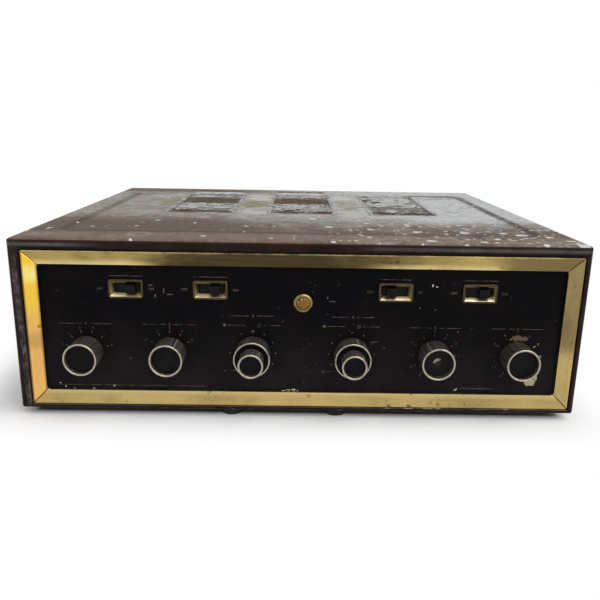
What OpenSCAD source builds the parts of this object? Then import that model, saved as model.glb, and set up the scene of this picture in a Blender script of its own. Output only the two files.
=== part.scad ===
// Stereo tube integrated amplifier: sheet-steel case, brass-toned front frame, tube chassis inside.
// Millimetres. The front faces -Y, +X is to the right seen from the front, +Z is up.
// The origin lies under the middle of the whole amplifier, on the surface that it stands on.

/* [Case] */
// Width of the case
case_w = 398; // [386:1:410]
// Height of the case without its feet
case_h = 124; // [121:1:132]
// Depth of the case without its knobs
case_d = 342; // [336:1:360]
// Thickness of the case's sheet steel
sheet_t = 1.2; // [1:0.1:1.5]
// Thickness of the hemmed front rim
rim_t = 2.4; // [2.2:0.1:3]
// Corner radius of the case, seen from the front
case_r = 4; // [3:0.5:6]
// Rounding of the front rim's outer edge
rim_round = 3; // [1.5:0.1:3.2]
// Width of the crack along each mitred rim corner
mitre_w = 0.4; // [0.2:0.1:0.6]
// Depth of the crack along each mitred rim corner
mitre_depth = 0.6; // [0.3:0.1:1]
// Width of the folded hem round the open back
hem_w = 6; // [4:0.5:9]
// Width of the returns folded in under the case
return_w = 14; // [12:0.5:18]
// Slack between the bottom plate and the case
plate_gap = 0.3; // [0.2:0.1:0.6]
// Air slots in the bottom plate before and behind the middle of a vent
floor_slots = 4; // [2:1:5]
// Distance between those slots
floor_slot_pitch = 12; // [10:0.5:13]
// Width of those slots
floor_slot_w = 4; // [3:0.5:6]

/* [Top] */
// From the case's side to the pressed recess in its top
recess_side = 23; // [18:1:26]
// From the front face to the recess
recess_front = 36; // [30:1:44]
// From the back edge to the recess
recess_rear = 40; // [34:1:48]
// Depth of the recess
recess_depth = 1; // [0.6:0.1:1.4]
// Run of the slope from the recess's edge down to its floor
recess_slope = 3; // [1.5:0.5:4]
// Corner radius of the recess
recess_r = 8; // [6:1:12]
// Width of each vent opening
vent_w = 56; // [48:1:62]
// From the front face to the vent openings
vent_front = 146; // [138:1:154]
// From the back edge to the vent openings
vent_rear = 48; // [46:1:60]
// Distance between vent openings, middle to middle
vent_pitch = 91; // [84:1:96]
// Thickness of the perforated screens
screen_t = 0.8; // [0.6:0.1:1.2]
// How far a screen reaches past its opening
screen_lap = 4; // [3:0.5:6]
// Diameter of the screen's holes
hole_d = 4; // [3:0.1:4.4]
// Distance between the screen's holes
hole_pitch = 6.4; // [6:0.1:9]

/* [Feet and screws] */
// Height of the feet under the case
foot_h = 5; // [4.5:0.5:12]
// Radius of a foot at its top
foot_top_r = 9; // [8:0.5:11]
// Radius of a foot where it stands
foot_low_r = 7.6; // [7:0.2:8]
// Depth of the well for a foot's screw
foot_well = 2.6; // [2.4:0.1:3.4]
// From the case's side to the middle of a foot
foot_side = 46; // [42:1:60]
// From the front face to the front feet
foot_front = 46; // [40:1:60]
// From the back edge to the rear feet
foot_rear = 60; // [54:1:70]
// From the middle of the case to the left front pad
pad_left = 49; // [42:1:56]
// From the middle of the case to the right front pad
pad_right = 27; // [20:1:36]
// From the front face to the front pads
pad_front = 11.4; // [11:0.2:14]
// Radius of a front pad
pad_r = 8; // [7:0.2:8.2]
// How much a front pad narrows towards its foot
pad_taper = 0.8; // [0.4:0.1:1.2]
// Radius of the stem that holds a pad in the bottom plate
pad_stem_r = 2; // [1.6:0.1:2.4]
// Radius of that stem's head
pad_head_r = 3; // [2.8:0.1:3.6]
// Height of that stem's head
pad_head_h = 1; // [0.8:0.1:1.2]
// Radius of the screws' shanks
screw_r = 1.5; // [1.3:0.1:1.8]
// Slack round the screws' shanks
screw_gap = 0.2; // [0.1:0.05:0.4]
// Radius of the screws' heads
screw_head_r = 3; // [2.6:0.1:3.4]
// Height of the screws' heads
screw_head_h = 1.8; // [1.4:0.1:2.2]
// How far a screw reaches past the sheet that it holds
screw_past = 2.5; // [2:0.5:4]
// From the edge of a folded flange to its screws
screw_edge = 5.5; // [5:0.5:6]

/* [Front frame] */
// Width of the rim beside the front frame, before the frame's offset
rim_side = 6.5; // [4.5:0.25:8]
// Height of the rim over the front frame, before the frame's offset
rim_over = 6; // [4.5:0.25:8]
// How far the chassis and the front sit to the right of the case's middle
front_shift_x = 2; // [0:0.5:3]
// How far the front sits below the case's middle
front_drop = 2.4; // [0:0.2:3]
// Slack between the front frame and the case's rim
bezel_gap = 0.5; // [0.3:0.1:0.8]
// How far the front frame lies behind the rim's face
bezel_set = 0.4; // [0.2:0.1:0.8]
// Width of the front frame's rails
rail_w = 10; // [8:0.5:12]
// Depth of the front frame's rails
rail_d = 5.2; // [4.4:0.2:6]
// How far the rails slope back from their outer edge to their inner edge
rail_slope = 2.2; // [1.4:0.2:3]
// Width of the rails' raised outer bead
rail_bead = 1.2; // [0.8:0.1:1.6]
// Slack at the rails' mitred ends
rail_seam = 0.1; // [0.05:0.05:0.2]
// Corner radius of the opening inside the rails
opening_r = 3; // [2:0.5:5]
// Thickness of the printed panel
panel_t = 1.6; // [1.2:0.1:2]
// From the front frame's outer edge to the edge of the panel
panel_edge = 1; // [0.6:0.2:1.6]
// Thickness of the steel panel behind it
subpanel_t = 1.4; // [1.2:0.1:2]
// Depth of the folds along the steel panel's long edges
subpanel_fold = 12; // [8:1:16]

/* [Knobs] */
// From the middle of the front to the first pair of knobs
knob_first = 35.2; // [32:0.2:40]
// From the front frame's outer edge to the last pair of knobs
knob_edge = 40; // [34:0.2:44]
// How far the knobs' axes lie below the middle of the front frame
knob_drop = 17.4; // [14:0.2:19]
// Radius of the single knobs
single_r = 11.5; // [10.6:0.1:12.5]
// Length of the single knobs
single_len = 18.8; // [17:0.2:20]
// Radius of the outer concentric knobs
outer_r = 12.75; // [12:0.05:13.5]
// Length of the outer concentric knobs
outer_len = 14.8; // [14:0.2:17]
// Radius of the inner concentric knobs
inner_r = 8.6; // [8:0.1:9.4]
// Length of the inner concentric knobs
inner_len = 13.3; // [12:0.1:15]
// Gap behind a knob
knob_gap = 0.8; // [0.5:0.1:1.2]
// Width of the metal ring round a knob's front
ring_w = 1.25; // [1:0.05:1.6]
// Height of that ring
ring_h = 1.4; // [1:0.1:1.5]
// Bevel on that ring's edges
ring_bevel = 0.3; // [0.2:0.05:0.4]
// Depth of the dish in an outer concentric knob's front
dish = 1.6; // [1.5:0.1:2]
// Depth of the cup in the front of the other knobs
cup = 5; // [4:0.2:6]
// Width of the index groove on a knob's side
index_w = 0.9; // [0.7:0.1:1.3]
// Depth of the index groove
index_depth = 0.4; // [0.3:0.05:0.6]
// Bevel on a knob's back edge
knob_bevel = 0.4; // [0.2:0.1:0.8]
// How far a shaft's hole reaches into its knob, as a part of the knob's solid length
key_share = 0.7; // [0.6:0.05:0.8]
// Free room between a shaft's end and the bottom of its hole
key_room = 0.6; // [0.4:0.1:1]
// Slack of a knob on its shaft
knob_slip = 0.03; // [0.02:0.01:0.05]
// Angle of the selector knob's index at rest, clockwise from the top
selector_index = -75; // [-75:30:75]
// Angle of the mode knob's index at rest
mode_index = 30; // [-60:30:60]
// Angle of the left outer knob's index at rest
tone_a_outer_index = -100; // [-150:5:150]
// Angle of the left inner knob's index at rest
tone_a_inner_index = 40; // [-150:5:150]
// Angle of the right outer knob's index at rest
tone_b_outer_index = 15; // [-150:5:150]
// Angle of the right inner knob's index at rest
tone_b_inner_index = 50; // [-150:5:150]
// Angle of the balance knob's index at rest
balance_index = -30; // [-150:5:150]
// Angle of the loudness knob's index at rest
loudness_index = -150; // [-150:5:150]

/* [Controls] */
// Radius of the control shafts
shaft_r = 3.175; // [3:0.025:3.3]
// Radius of the thin shafts inside the sleeves
thin_shaft_r = 1.5875; // [1.4:0.0125:1.7]
// Running fit of a shaft in its bore
run_fit = 0.05; // [0.03:0.01:0.08]
// How deep the flat is cut on a shaft's end, as a part of its radius
flat_share = 0.7; // [0.3:0.1:0.9]
// Radius of the controls' threaded bushings
bushing_r = 4.75; // [4.6:0.05:5]
// How far a bushing stands out in front of the panel
bushing_out = 4; // [3.4:0.2:4.4]
// Slack round a bushing in the panels
bushing_gap = 0.2; // [0.1:0.05:0.4]
// Size of a bushing's nut across its flats
nut_flats = 12.7; // [12:0.1:13]
// Thickness of a nut
nut_t = 2.4; // [2:0.1:3]
// Slack of a nut on its bushing
nut_slip = 0.05; // [0.03:0.01:0.1]
// Free room round the nut in the back of a knob
nut_room = 0.9; // [0.6:0.1:1.2]
// Radius of the potentiometers' cans
pot_r = 12; // [11.5:0.1:14]
// Depth of one potentiometer can
pot_d = 10.5; // [9:0.5:12]
// Wall of a potentiometer can
pot_wall = 1.5; // [1.2:0.1:2]
// Thickness of the wiper disc on a shaft
wiper_t = 2; // [1.6:0.2:2.6]
// Free room round a wiper disc
wiper_gap = 0.5; // [0.4:0.1:0.8]
// Radius of the rotary switches' wafers
wafer_r = 17; // [15:0.5:18]
// Thickness of a wafer
wafer_t = 1.6; // [1.2:0.2:2]
// Distance between wafers
wafer_pitch = 12; // [10:1:15]
// Thickness of a rotary switch's index plate
index_plate_t = 3; // [2.4:0.2:4]
// Radius of the tie rods between the wafers
tie_r = 1.5; // [1.2:0.1:2]
// Radius of the stop collar on a switch shaft
collar_r = 6; // [5:0.5:8]

/* [Slide switches] */
// How far the slide switches lie above the middle of the front frame
switch_rise = 28.5; // [27:0.1:30]
// Width of a switch's brass-toned trough
trough_w = 24; // [23:0.2:26]
// Height of the trough
trough_h = 13.4; // [12.6:0.2:14.4]
// How far the trough's flange stands out from the panel
trough_out = 1; // [0.8:0.1:1.4]
// Corner radius of the trough's flange
trough_r = 1.6; // [1:0.1:2.2]
// Width of the trough's flat flange
trough_flange = 1.3; // [1:0.1:1.6]
// How far the flange laps over the panel's window
trough_lap = 1.6; // [1.2:0.1:2]
// Slack round the trough in the panel's window
trough_gap = 0.2; // [0.1:0.05:0.3]
// Width of the slot at the trough's bottom
slot_w = 17; // [16:0.2:18]
// Height of the slot at the trough's bottom
slot_h = 6.4; // [5.8:0.2:7]
// Travel of a slide
slide_travel = 6; // [4:0.5:7]
// Width of a slide's nub
nub_w = 7; // [6:0.2:8]
// Room over and under a nub in its slot
nub_gap = 0.4; // [0.3:0.05:0.6]
// How far a nub's front lies in front of the panel
nub_out = 1.6; // [0.8:0.1:2.4]
// Thickness of the plate that a nub stands on
slide_plate_t = 1.8; // [1.4:0.1:2.4]
// Room round that plate in the switch
slide_gap = 0.35; // [0.3:0.05:0.5]
// Wall of a switch's body
switch_wall = 1.2; // [1:0.1:1.6]
// Depth of a switch's body
switch_d = 9; // [8:0.5:12]
// Length of a switch's mounting ears
switch_ear = 6; // [5:0.5:8]

/* [Pilot light] */
// How far the pilot light lies above the middle of the front frame
pilot_rise = 20; // [19:0.2:22]
// Radius of the pilot light's ring
pilot_r = 6.7; // [6.2:0.1:7.2]
// How far the ring stands out from the panel
pilot_out = 1.6; // [1.2:0.1:2]
// Radius of the jewel
jewel_r = 4.75; // [4.4:0.05:5]
// How far the jewel stands out from its ring
jewel_out = 1.8; // [1.2:0.1:2.4]
// Wall of the ring's barrel
pilot_wall = 0.8; // [0.6:0.1:1]
// Slack between jewel, barrel and panel
pilot_gap = 0.1; // [0.05:0.05:0.2]
// Depth of the lamp holder behind the steel panel
lamp_d = 24; // [20:1:30]
// Radius of the lamp's bulb
bulb_r = 4; // [3.4:0.1:4.2]

/* [Chassis] */
// From the case's side to the chassis
chassis_side = 21; // [17:0.5:22]
// Thickness of the chassis sheet
chassis_t = 1.2; // [1:0.1:1.6]
// From the front face to the chassis deck, the bay of the controls
control_bay = 80; // [60:1:86]
// From the back edge to the rear apron
rear_bay = 26; // [24:1:32]
// Width of the chassis's floor flanges
floor_flange = 14; // [12:0.5:16]
// Room between the tallest tubes and the screens
tube_headroom = 6; // [4:0.5:10]
// Radius of the tubes
tube_r = 10.8; // [10:0.1:11.2]
// Height of the output tubes
output_tube_h = 62; // [58:0.5:64]
// Height of the small tubes
small_tube_h = 48; // [44:0.5:52]
// Wall of the tubes' glass
glass_t = 1; // [0.8:0.1:1.2]
// Radius of the pinched tip on a tube
tip_r = 1.5; // [1.2:0.1:2]
// Height of that tip
tip_h = 2.4; // [2:0.2:3]
// Radius of a tube's plate
plate_r = 6.2; // [5.6:0.1:7]
// Height of a plate over its tube's base, as a part of the tube's height
stem_share = 0.18; // [0.14:0.01:0.24]
// Thickness of a tube's mica spacers
mica_t = 0.6; // [0.5:0.1:0.8]
// Room between a tube's glass and what stands in it
mica_gap = 0.4; // [0.3:0.1:0.6]
// Height of a socket over the deck
socket_h = 3; // [2.4:0.2:4]
// Radius of a socket's flange
socket_r = 12; // [11.4:0.1:13]
// Radius of a socket where it passes the deck
socket_neck_r = 9; // [8.4:0.1:9.4]
// Depth of a socket under the deck
socket_d = 8; // [6:0.5:10]
// Slack of a socket in the deck
socket_gap = 0.2; // [0.1:0.05:0.3]
// From the vent's front edge to the first tubes
tube_lead = 26; // [22:1:30]
// Distance between output tubes
output_tube_pitch = 58; // [50:1:64]
// Distance between small tubes
small_tube_pitch = 44; // [40:1:48]

/* [Transformers and capacitors] */
// Width of the power transformer
power_w = 60; // [54:1:64]
// Length of the power transformer
power_l = 76; // [70:1:84]
// Height of its core
power_core_h = 24; // [20:1:28]
// Height of its cover
power_cover_h = 32; // [26:1:36]
// From the core's edge to the cover
power_step = 4; // [3:0.5:6]
// Rounding of the transformers' covers
cover_round = 7; // [5:0.5:9]
// Thickness of the covers' flanges
cover_flange_t = 1.5; // [1.2:0.1:2]
// Width of an output transformer
output_w = 46; // [42:1:50]
// Length of an output transformer
output_l = 54; // [48:1:60]
// Height of an output transformer
output_h = 50; // [44:1:56]
// Gap between the output transformers
output_gap = 22; // [16:1:30]
// From the chassis's side to the transformers
iron_side = 8; // [6:1:12]
// From the front edge of the deck to the transformers
iron_front = 14; // [10:1:20]
// Radius of the filter capacitors
can_r = 17.5; // [16:0.5:19]
// Height of the filter capacitors
can_h = 58; // [50:1:62]
// From the apron to the middle of the filter capacitors
can_rear = 34; // [28:1:40]
// Width of the rolled seam on a filter capacitor
can_seam = 1; // [0.6:0.1:1.4]
// From the chassis's side to the component boards
board_side = 52; // [48:1:60]
// Width of a component board
board_w = 120; // [100:2:130]
// Length of a component board
board_l = 50; // [44:1:56]
// Thickness of a component board
board_t = 2; // [1.6:0.1:2.6]
// From the deck down to the component boards
board_drop = 22; // [18:1:26]
// Radius of the component boards' posts
post_r = 2.5; // [2:0.1:3]
// From a board's edge to its posts
post_edge = 6; // [5:0.5:8]
// Radius of the parts on the component boards
resistor_r = 2.2; // [1.8:0.1:2.8]
// Length of those parts
resistor_l = 22; // [16:1:28]
// How deep those parts are bedded in their board
resistor_bed = 0.5; // [0.3:0.1:0.8]
// Distance between those parts
resistor_pitch = 12; // [9:0.5:14]

/* [Rear apron] */
// From the chassis's left side to the middle of the jack board
jack_edge = 60; // [56:1:66]
// Distance between columns of jacks
jack_pitch_x = 17; // [15:0.5:18]
// Distance between rows of jacks
jack_pitch_z = 17; // [15:0.5:18]
// Columns of jacks
jack_columns = 5; // [3:1:5]
// Rows of jacks
jack_rows = 2; // [1:1:2]
// Radius of a jack's shell
jack_r = 4.15; // [4:0.05:4.3]
// Length of a jack's shell
jack_len = 9; // [8:0.5:11]
// Radius of a jack's hole
jack_hole_r = 1.65; // [1.6:0.05:1.8]
// Radius of a jack's flange
jack_flange_r = 6; // [5.6:0.1:6.6]
// Radius of a jack's neck through its board
jack_neck_r = 3; // [2.8:0.1:3.4]
// How far a jack's neck reaches behind the apron
jack_tail = 6; // [4:0.5:8]
// Thickness of the terminal boards
terminal_t = 1.8; // [1.4:0.1:2.4]
// Border of a terminal board round its parts
terminal_border = 8; // [7.5:0.5:10]
// How far the speaker strip lies left of the middle
strip_left = 22; // [18:1:26]
// Screws on the speaker strip
strip_screws = 8; // [4:1:8]
// Distance between the speaker strip's screws
strip_pitch = 9; // [8:0.2:9.6]
// Height of the speaker strip
strip_h = 18; // [16:1:22]
// From the chassis's right side to the middle of the fuse holder
fuse_edge = 130; // [126:1:134]
// Radius of the fuse holder's body
fuse_r = 6; // [5.6:0.1:6.6]
// Length of the fuse holder behind the apron
fuse_d = 24; // [20:1:30]
// Length of the fuse holder's cap
fuse_cap = 11; // [9:0.5:13]
// Radius of the fuse holder's flange
fuse_flange_r = 8.5; // [8:0.1:9]
// From the chassis's right side to the middle of the outer outlet
outlet_edge = 60; // [56:1:62]
// Distance between the two outlets
outlet_pitch = 36; // [34:1:40]
// Width of an outlet's face
outlet_w = 26; // [24:0.5:28]
// Height of an outlet's face
outlet_h = 32; // [28:0.5:34]
// Thickness of an outlet's face
outlet_t = 2.2; // [1.8:0.1:3]
// Depth of an outlet behind the apron
outlet_d = 16; // [14:1:20]
// From an outlet's face edge to its body
outlet_lip = 3.4; // [3:0.2:4]
// Distance between an outlet's two slots
blade_pitch = 12.7; // [12:0.1:13]
// Width of an outlet's slot
blade_w = 2.2; // [1.8:0.1:2.6]
// Height of an outlet's slot
blade_h = 8; // [7:0.5:9]
// Depth of an outlet's slot
blade_d = 12; // [9:0.5:13]
// From the chassis's right side to the middle of the cord's grommet
cord_edge = 22; // [18:1:26]
// Radius of the cord's hole in the grommet
cord_r = 4; // [3.4:0.1:4.4]
// Radius of the grommet in the apron
grommet_neck_r = 6; // [5.6:0.1:6.6]
// Radius of the grommet's flanges
grommet_r = 8; // [7.4:0.1:9]
// Thickness of each of the grommet's flanges
grommet_t = 2; // [1.6:0.1:2.6]
// Slack of fitted parts in the apron
apron_gap = 0.2; // [0.1:0.05:0.3]

/* [Hidden] */
$fn = 64;
// Overshoot of a cut past a face
cut = 1;

// Depths behind the case's front face
panel_y = bezel_set + rail_d;
subpanel_y = panel_y + panel_t;
back_y = subpanel_y + subpanel_t;
knob_y = panel_y - knob_gap;
outer_front_y = knob_y - outer_len;
inner_y = outer_front_y + dish - knob_gap;
front_reach = inner_len - inner_y;
face_y = -(case_d - front_reach) / 2;
apron_y = case_d - rear_bay;

// Middle of the front, measured from the case's bottom middle
front_z = case_h / 2 - front_drop;
bezel_w = case_w - 2 * rim_side;
bezel_h = case_h - 2 * rim_over;
panel_w = bezel_w - 2 * panel_edge;
panel_h = bezel_h - 2 * panel_edge;

// Knob axes from left to right, and the switches midway between them
knob_last = bezel_w / 2 - knob_edge;
knob_mid = (knob_first + knob_last) / 2;
knob_x = [-knob_last, -knob_mid, -knob_first, knob_first, knob_mid, knob_last];
switch_x = [for (pair = [[0, 1], [1, 2], [3, 4], [4, 5]]) (knob_x[pair[0]] + knob_x[pair[1]]) / 2];

// Heights over the case's bottom
tray_z = case_h - recess_depth - sheet_t;
screen_z = tray_z - screen_t;
deck_z = screen_z - tube_headroom - output_tube_h - tip_h - socket_h;
floor_z = 2 * sheet_t;
apron_mid_z = (floor_z + deck_z) / 2;

chassis_w = case_w - 2 * chassis_side;
vent_l = case_d - vent_front - vent_rear;
recess_w = case_w - 2 * recess_side;
recess_l = case_d - recess_front - recess_rear;
tube_y = vent_front + tube_lead;
output_tube_at = [for (x = [-vent_pitch, vent_pitch], i = [0, 1]) [x, tube_y + i * output_tube_pitch]];
small_tube_at = [for (i = [0 : 2]) [0, tube_y + i * small_tube_pitch]];
foot_at = [for (sx = [-1, 1], y = [foot_front, case_d - foot_rear]) [sx * (case_w / 2 - foot_side), y]];
return_screw_x = case_w / 2 - return_w + screw_edge;
return_screw_y = [foot_front, case_d / 2, case_d - foot_rear];
chassis_bolt_x = chassis_w / 2 - floor_flange + screw_edge;
chassis_bolt_y = [control_bay + iron_front, apron_y - can_rear];

// Knob hollows
nut_corner_r = nut_flats / 2 / cos(30);
nut_room_r = nut_corner_r + nut_room;
nut_room_h = bushing_out - knob_gap + nut_room;
flat_depth = flat_share * shaft_r;
thin_flat_depth = flat_share * thin_shaft_r;
single_hole = nut_room_h + (single_len - cup - nut_room_h) * key_share;
inner_hole = (inner_len - cup) * key_share;

// Where bushings and shafts end, measured forward from the back of the steel panel
bushing_len = back_y - panel_y + bushing_out;
single_tip = back_y - knob_y + single_hole - key_room;
open_tip = back_y - knob_y + single_len - cup - key_room;
sleeve_tip = back_y - knob_y + outer_len - dish - knob_slip;
thin_tip = back_y - inner_y + inner_hole - key_room;

// Wiper discs in the potentiometers
wiper_at = pot_wall + wiper_gap;
wiper_r = pot_r - pot_wall - wiper_gap;

// Slide switches
window_w = trough_w - 2 * trough_lap;
window_h = trough_h - 2 * trough_lap;
nub_h = slot_h - 2 * nub_gap;
slide_y = back_y + slide_gap;
slide_plate_w = slot_w + slide_travel;
slide_plate_h = window_h - 2 * slide_gap;
switch_w = slide_plate_w + slide_travel + 2 * slide_gap + 2 * switch_wall;
switch_h = slide_plate_h + 2 * slide_gap + 2 * switch_wall;

// Rear apron
jack_x = -chassis_w / 2 + jack_edge;
jack_span_x = (jack_columns - 1) * jack_pitch_x;
jack_span_z = (jack_rows - 1) * jack_pitch_z;
jack_at = [for (i = [0 : jack_columns - 1], k = [0 : jack_rows - 1])
  [jack_x - jack_span_x / 2 + i * jack_pitch_x, apron_mid_z - jack_span_z / 2 + k * jack_pitch_z]];
jack_board_w = jack_span_x + 2 * (jack_neck_r + terminal_border);
jack_board_h = jack_span_z + 2 * (jack_neck_r + terminal_border);
strip_at = [for (i = [0 : strip_screws - 1]) -strip_left + (i - (strip_screws - 1) / 2) * strip_pitch];
strip_w = (strip_screws - 1) * strip_pitch + 2 * terminal_border;
fuse_x = chassis_w / 2 - fuse_edge;
outlet_x = [chassis_w / 2 - outlet_edge - outlet_pitch, chassis_w / 2 - outlet_edge];
cord_x = chassis_w / 2 - cord_edge;

// Measured from the case's bottom middle at its front face
module in_case() {
  translate([0, face_y, foot_h]) children();
}

// Measured like the case, but carried along with the chassis
module in_chassis() {
  translate([front_shift_x, face_y, foot_h]) children();
}

// Measured from the middle of the front frame
module in_front() {
  translate([front_shift_x, face_y, foot_h + front_z]) children();
}

// A flat section drawn in X and Z, given a depth along Y
module deep(length) {
  translate([0, length, 0]) rotate([90, 0, 0]) linear_extrude(length) children();
}

// A turned piece whose axis points out of the front, its index angle clockwise from the top
module turned_to_front(x, y, z, index = 0) {
  translate([x, y, z]) rotate([90, 0, 0]) rotate([0, 0, -index]) children();
}

// A turned piece whose axis points out of the back
module turned_to_rear(x, y, z) {
  translate([x, y, z]) rotate([-90, 0, 0]) children();
}

module round_rect(w, h, r) {
  square([w - 2 * r, h], center = true);
  square([w, h - 2 * r], center = true);
  for (sx = [-1, 1], sy = [-1, 1])
    translate([sx * (w / 2 - r), sy * (h / 2 - r)]) circle(r);
}

module case_outline(inset = 0) {
  translate([0, case_h / 2]) round_rect(case_w - 2 * inset, case_h - 2 * inset, case_r - min(inset, sheet_t));
}

// The slit between the two returns under the case
module bottom_slit() {
  translate([-(case_w / 2 - return_w), -cut]) square([case_w - 2 * return_w, hem_w + 2 * cut]);
}

module wrap_section() {
  difference() {
    case_outline();
    case_outline(sheet_t);
    bottom_slit();
  }
}

module hem_section() {
  difference() {
    case_outline();
    case_outline(hem_w);
    bottom_slit();
  }
}

module rim_section() {
  difference() {
    case_outline();
    translate([front_shift_x, front_z])
      square([bezel_w + 2 * bezel_gap, bezel_h + 2 * bezel_gap], center = true);
  }
}

// What is left outside a quarter round in the corner of two faces
module edge_waste() {
  difference() {
    translate([-cut, -cut]) square(rim_round + cut);
    translate([rim_round, rim_round]) circle(rim_round);
  }
}

module rim_rounding() {
  for (top = [0, 1])
    translate([-case_w / 2 - cut, 0, top * case_h]) mirror([0, 0, top])
      rotate([90, 0, 90]) linear_extrude(case_w + 2 * cut) edge_waste();
  for (side = [0, 1])
    mirror([side, 0, 0]) translate([-case_w / 2, 0, -cut]) linear_extrude(case_h + 2 * cut) edge_waste();
}

// The open seam from each outer corner of the rim to the corner of its opening
module corner_mitres() {
  for (sx = [-1, 1], sz = [-1, 1]) {
    outer = [sx * case_w / 2, case_h / 2 + sz * case_h / 2];
    inner = [front_shift_x + sx * (bezel_w / 2 + bezel_gap), front_z + sz * (bezel_h / 2 + bezel_gap)];
    run = inner - outer;
    translate([outer[0], 0, outer[1]]) rotate([0, -atan2(run[1], run[0]), 0])
      translate([-cut, -cut, -mitre_w / 2]) cube([norm(run) + 2 * cut, mitre_depth + cut, mitre_w]);
  }
}

// The recess is pressed into the top: its floor hangs below the sheet by the recess's depth
module top_tray() {
  translate([0, recess_front + recess_l / 2, tray_z]) linear_extrude(sheet_t + recess_depth)
    round_rect(recess_w + 2 * sheet_t, recess_l + 2 * sheet_t, recess_r + sheet_t);
}

// A bar whose section widens upwards by the recess's slope, made longer along Y
module slope_bar(width, length) {
  over = recess_slope * cut / recess_depth;
  low = width / 2 - recess_slope;
  high = width / 2 + over;
  rise = recess_depth + cut;
  rotate([90, 0, 0]) translate([0, 0, -length / 2]) linear_extrude(length)
    polygon([[-low, 0], [low, 0], [high, rise], [-high, rise]]);
}

module top_pocket() {
  over = recess_slope * cut / recess_depth;
  corner_x = recess_w / 2 - recess_r;
  corner_y = recess_l / 2 - recess_r;
  translate([0, recess_front + recess_l / 2, tray_z + sheet_t]) {
    slope_bar(recess_w, 2 * corner_y);
    rotate([0, 0, 90]) slope_bar(recess_l, 2 * corner_x);
    for (sx = [-1, 1], sy = [-1, 1]) translate([sx * corner_x, sy * corner_y, 0])
      cylinder(h = recess_depth + cut, r1 = recess_r - recess_slope, r2 = recess_r + over);
  }
}

module at_vents() {
  for (i = [-1 : 1])
    translate([front_shift_x + i * vent_pitch, vent_front + vent_l / 2, 0]) children();
}

module vent_openings() {
  at_vents() translate([-vent_w / 2, -vent_l / 2, tray_z - cut]) cube([vent_w, vent_l, sheet_t + 2 * cut]);
}

module at_return_screws() {
  for (sx = [-1, 1], y = return_screw_y) translate([sx * return_screw_x, y, 0]) children();
}

module at_chassis_bolts() {
  for (sx = [-1, 1], y = chassis_bolt_y) translate([front_shift_x + sx * chassis_bolt_x, y, 0]) children();
}

module at_feet() {
  for (at = foot_at) translate([at[0], at[1], 0]) children();
}

module at_pads() {
  for (x = [-pad_left, pad_right]) translate([x, pad_front, 0]) children();
}

module screw_hole(low, high) {
  translate([0, 0, low - cut]) cylinder(h = high - low + 2 * cut, r = screw_r + screw_gap);
}

// A screw driven upwards, its head's upper face at the given height
module screw_up(head_z, tip_z) {
  translate([0, 0, head_z - screw_head_h]) cylinder(h = screw_head_h, r = screw_head_r);
  translate([0, 0, head_z - screw_head_h / 2]) cylinder(h = tip_z - head_z + screw_head_h / 2, r = screw_r);
}

module case_wrap() {
  color("#3d2e26") in_case() difference() {
    union() {
      translate([0, rim_t, 0]) deep(case_d - rim_t) wrap_section();
      translate([0, case_d - sheet_t, 0]) deep(sheet_t) hem_section();
      deep(rim_t) rim_section();
      top_tray();
    }
    top_pocket();
    vent_openings();
    rim_rounding();
    corner_mitres();
    at_return_screws() screw_hole(0, sheet_t);
  }
}

// Staggered round holes, kept clear of the screen's border
module screen_holes() {
  row_step = hole_pitch * sin(60);
  columns = floor((vent_w - hole_d) / 2 / hole_pitch - 0.5);
  rows = floor((vent_l - hole_d) / 2 / row_step);
  for (row = [-rows : rows], column = [-columns : columns])
    translate([(column + (row % 2 == 0 ? 0 : 0.5)) * hole_pitch, row * row_step]) circle(hole_d / 2);
}

module vent_screens() {
  color("#5a3a24") in_case() at_vents() translate([0, 0, screen_z]) linear_extrude(screen_t) difference() {
    square([vent_w + 2 * screen_lap, vent_l + 2 * screen_lap], center = true);
    screen_holes();
  }
}

module bottom_plate() {
  plate_w = case_w - 2 * (case_r + plate_gap);
  plate_l = case_d - rim_t - sheet_t - 2 * plate_gap;
  color("#4a4a48") in_case() difference() {
    translate([-plate_w / 2, rim_t + plate_gap, sheet_t]) cube([plate_w, plate_l, sheet_t]);
    at_return_screws() screw_hole(sheet_t, floor_z);
    at_chassis_bolts() screw_hole(sheet_t, floor_z);
    at_feet() screw_hole(sheet_t, floor_z);
    at_pads() translate([0, 0, sheet_t - cut]) cylinder(h = sheet_t + 2 * cut, r = pad_stem_r + screw_gap);
    at_vents() for (i = [-floor_slots : floor_slots])
      translate([-vent_w / 2, i * floor_slot_pitch - floor_slot_w / 2, sheet_t - cut])
        cube([vent_w, floor_slot_w, sheet_t + 2 * cut]);
  }
}

module rubber_feet() {
  well_r = screw_head_r + screw_gap;
  stem_r = screw_r + screw_gap;
  plate_low = foot_h + sheet_t;
  plate_high = foot_h + floor_z;
  color("#1c1b1a") translate([0, face_y, 0]) {
    at_feet() rotate_extrude() polygon([
      [stem_r, foot_well], [well_r, foot_well], [well_r, 0], [foot_low_r, 0],
      [foot_top_r, plate_low], [stem_r, plate_low]
    ]);
    at_pads() rotate_extrude() polygon([
      [0, 0], [pad_r - pad_taper, 0], [pad_r, plate_low], [pad_stem_r, plate_low], [pad_stem_r, plate_high],
      [pad_head_r, plate_high], [pad_head_r, plate_high + pad_head_h], [0, plate_high + pad_head_h]
    ]);
  }
}

module case_screws() {
  color("#8d8a82") in_case() {
    at_return_screws() screw_up(0, floor_z + screw_past);
    at_chassis_bolts() screw_up(sheet_t, floor_z + chassis_t + screw_past);
    at_feet() screw_up(foot_well - foot_h, floor_z + screw_past);
  }
}

// One rail seen from its end: back from the frame's front, then inward from the outer edge
module rail_section(reach) {
  polygon([
    [0, 0], [0, -rail_bead], [rail_slope, -rail_w], [rail_slope, -reach], [rail_d, -reach], [rail_d, 0]
  ]);
}

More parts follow.
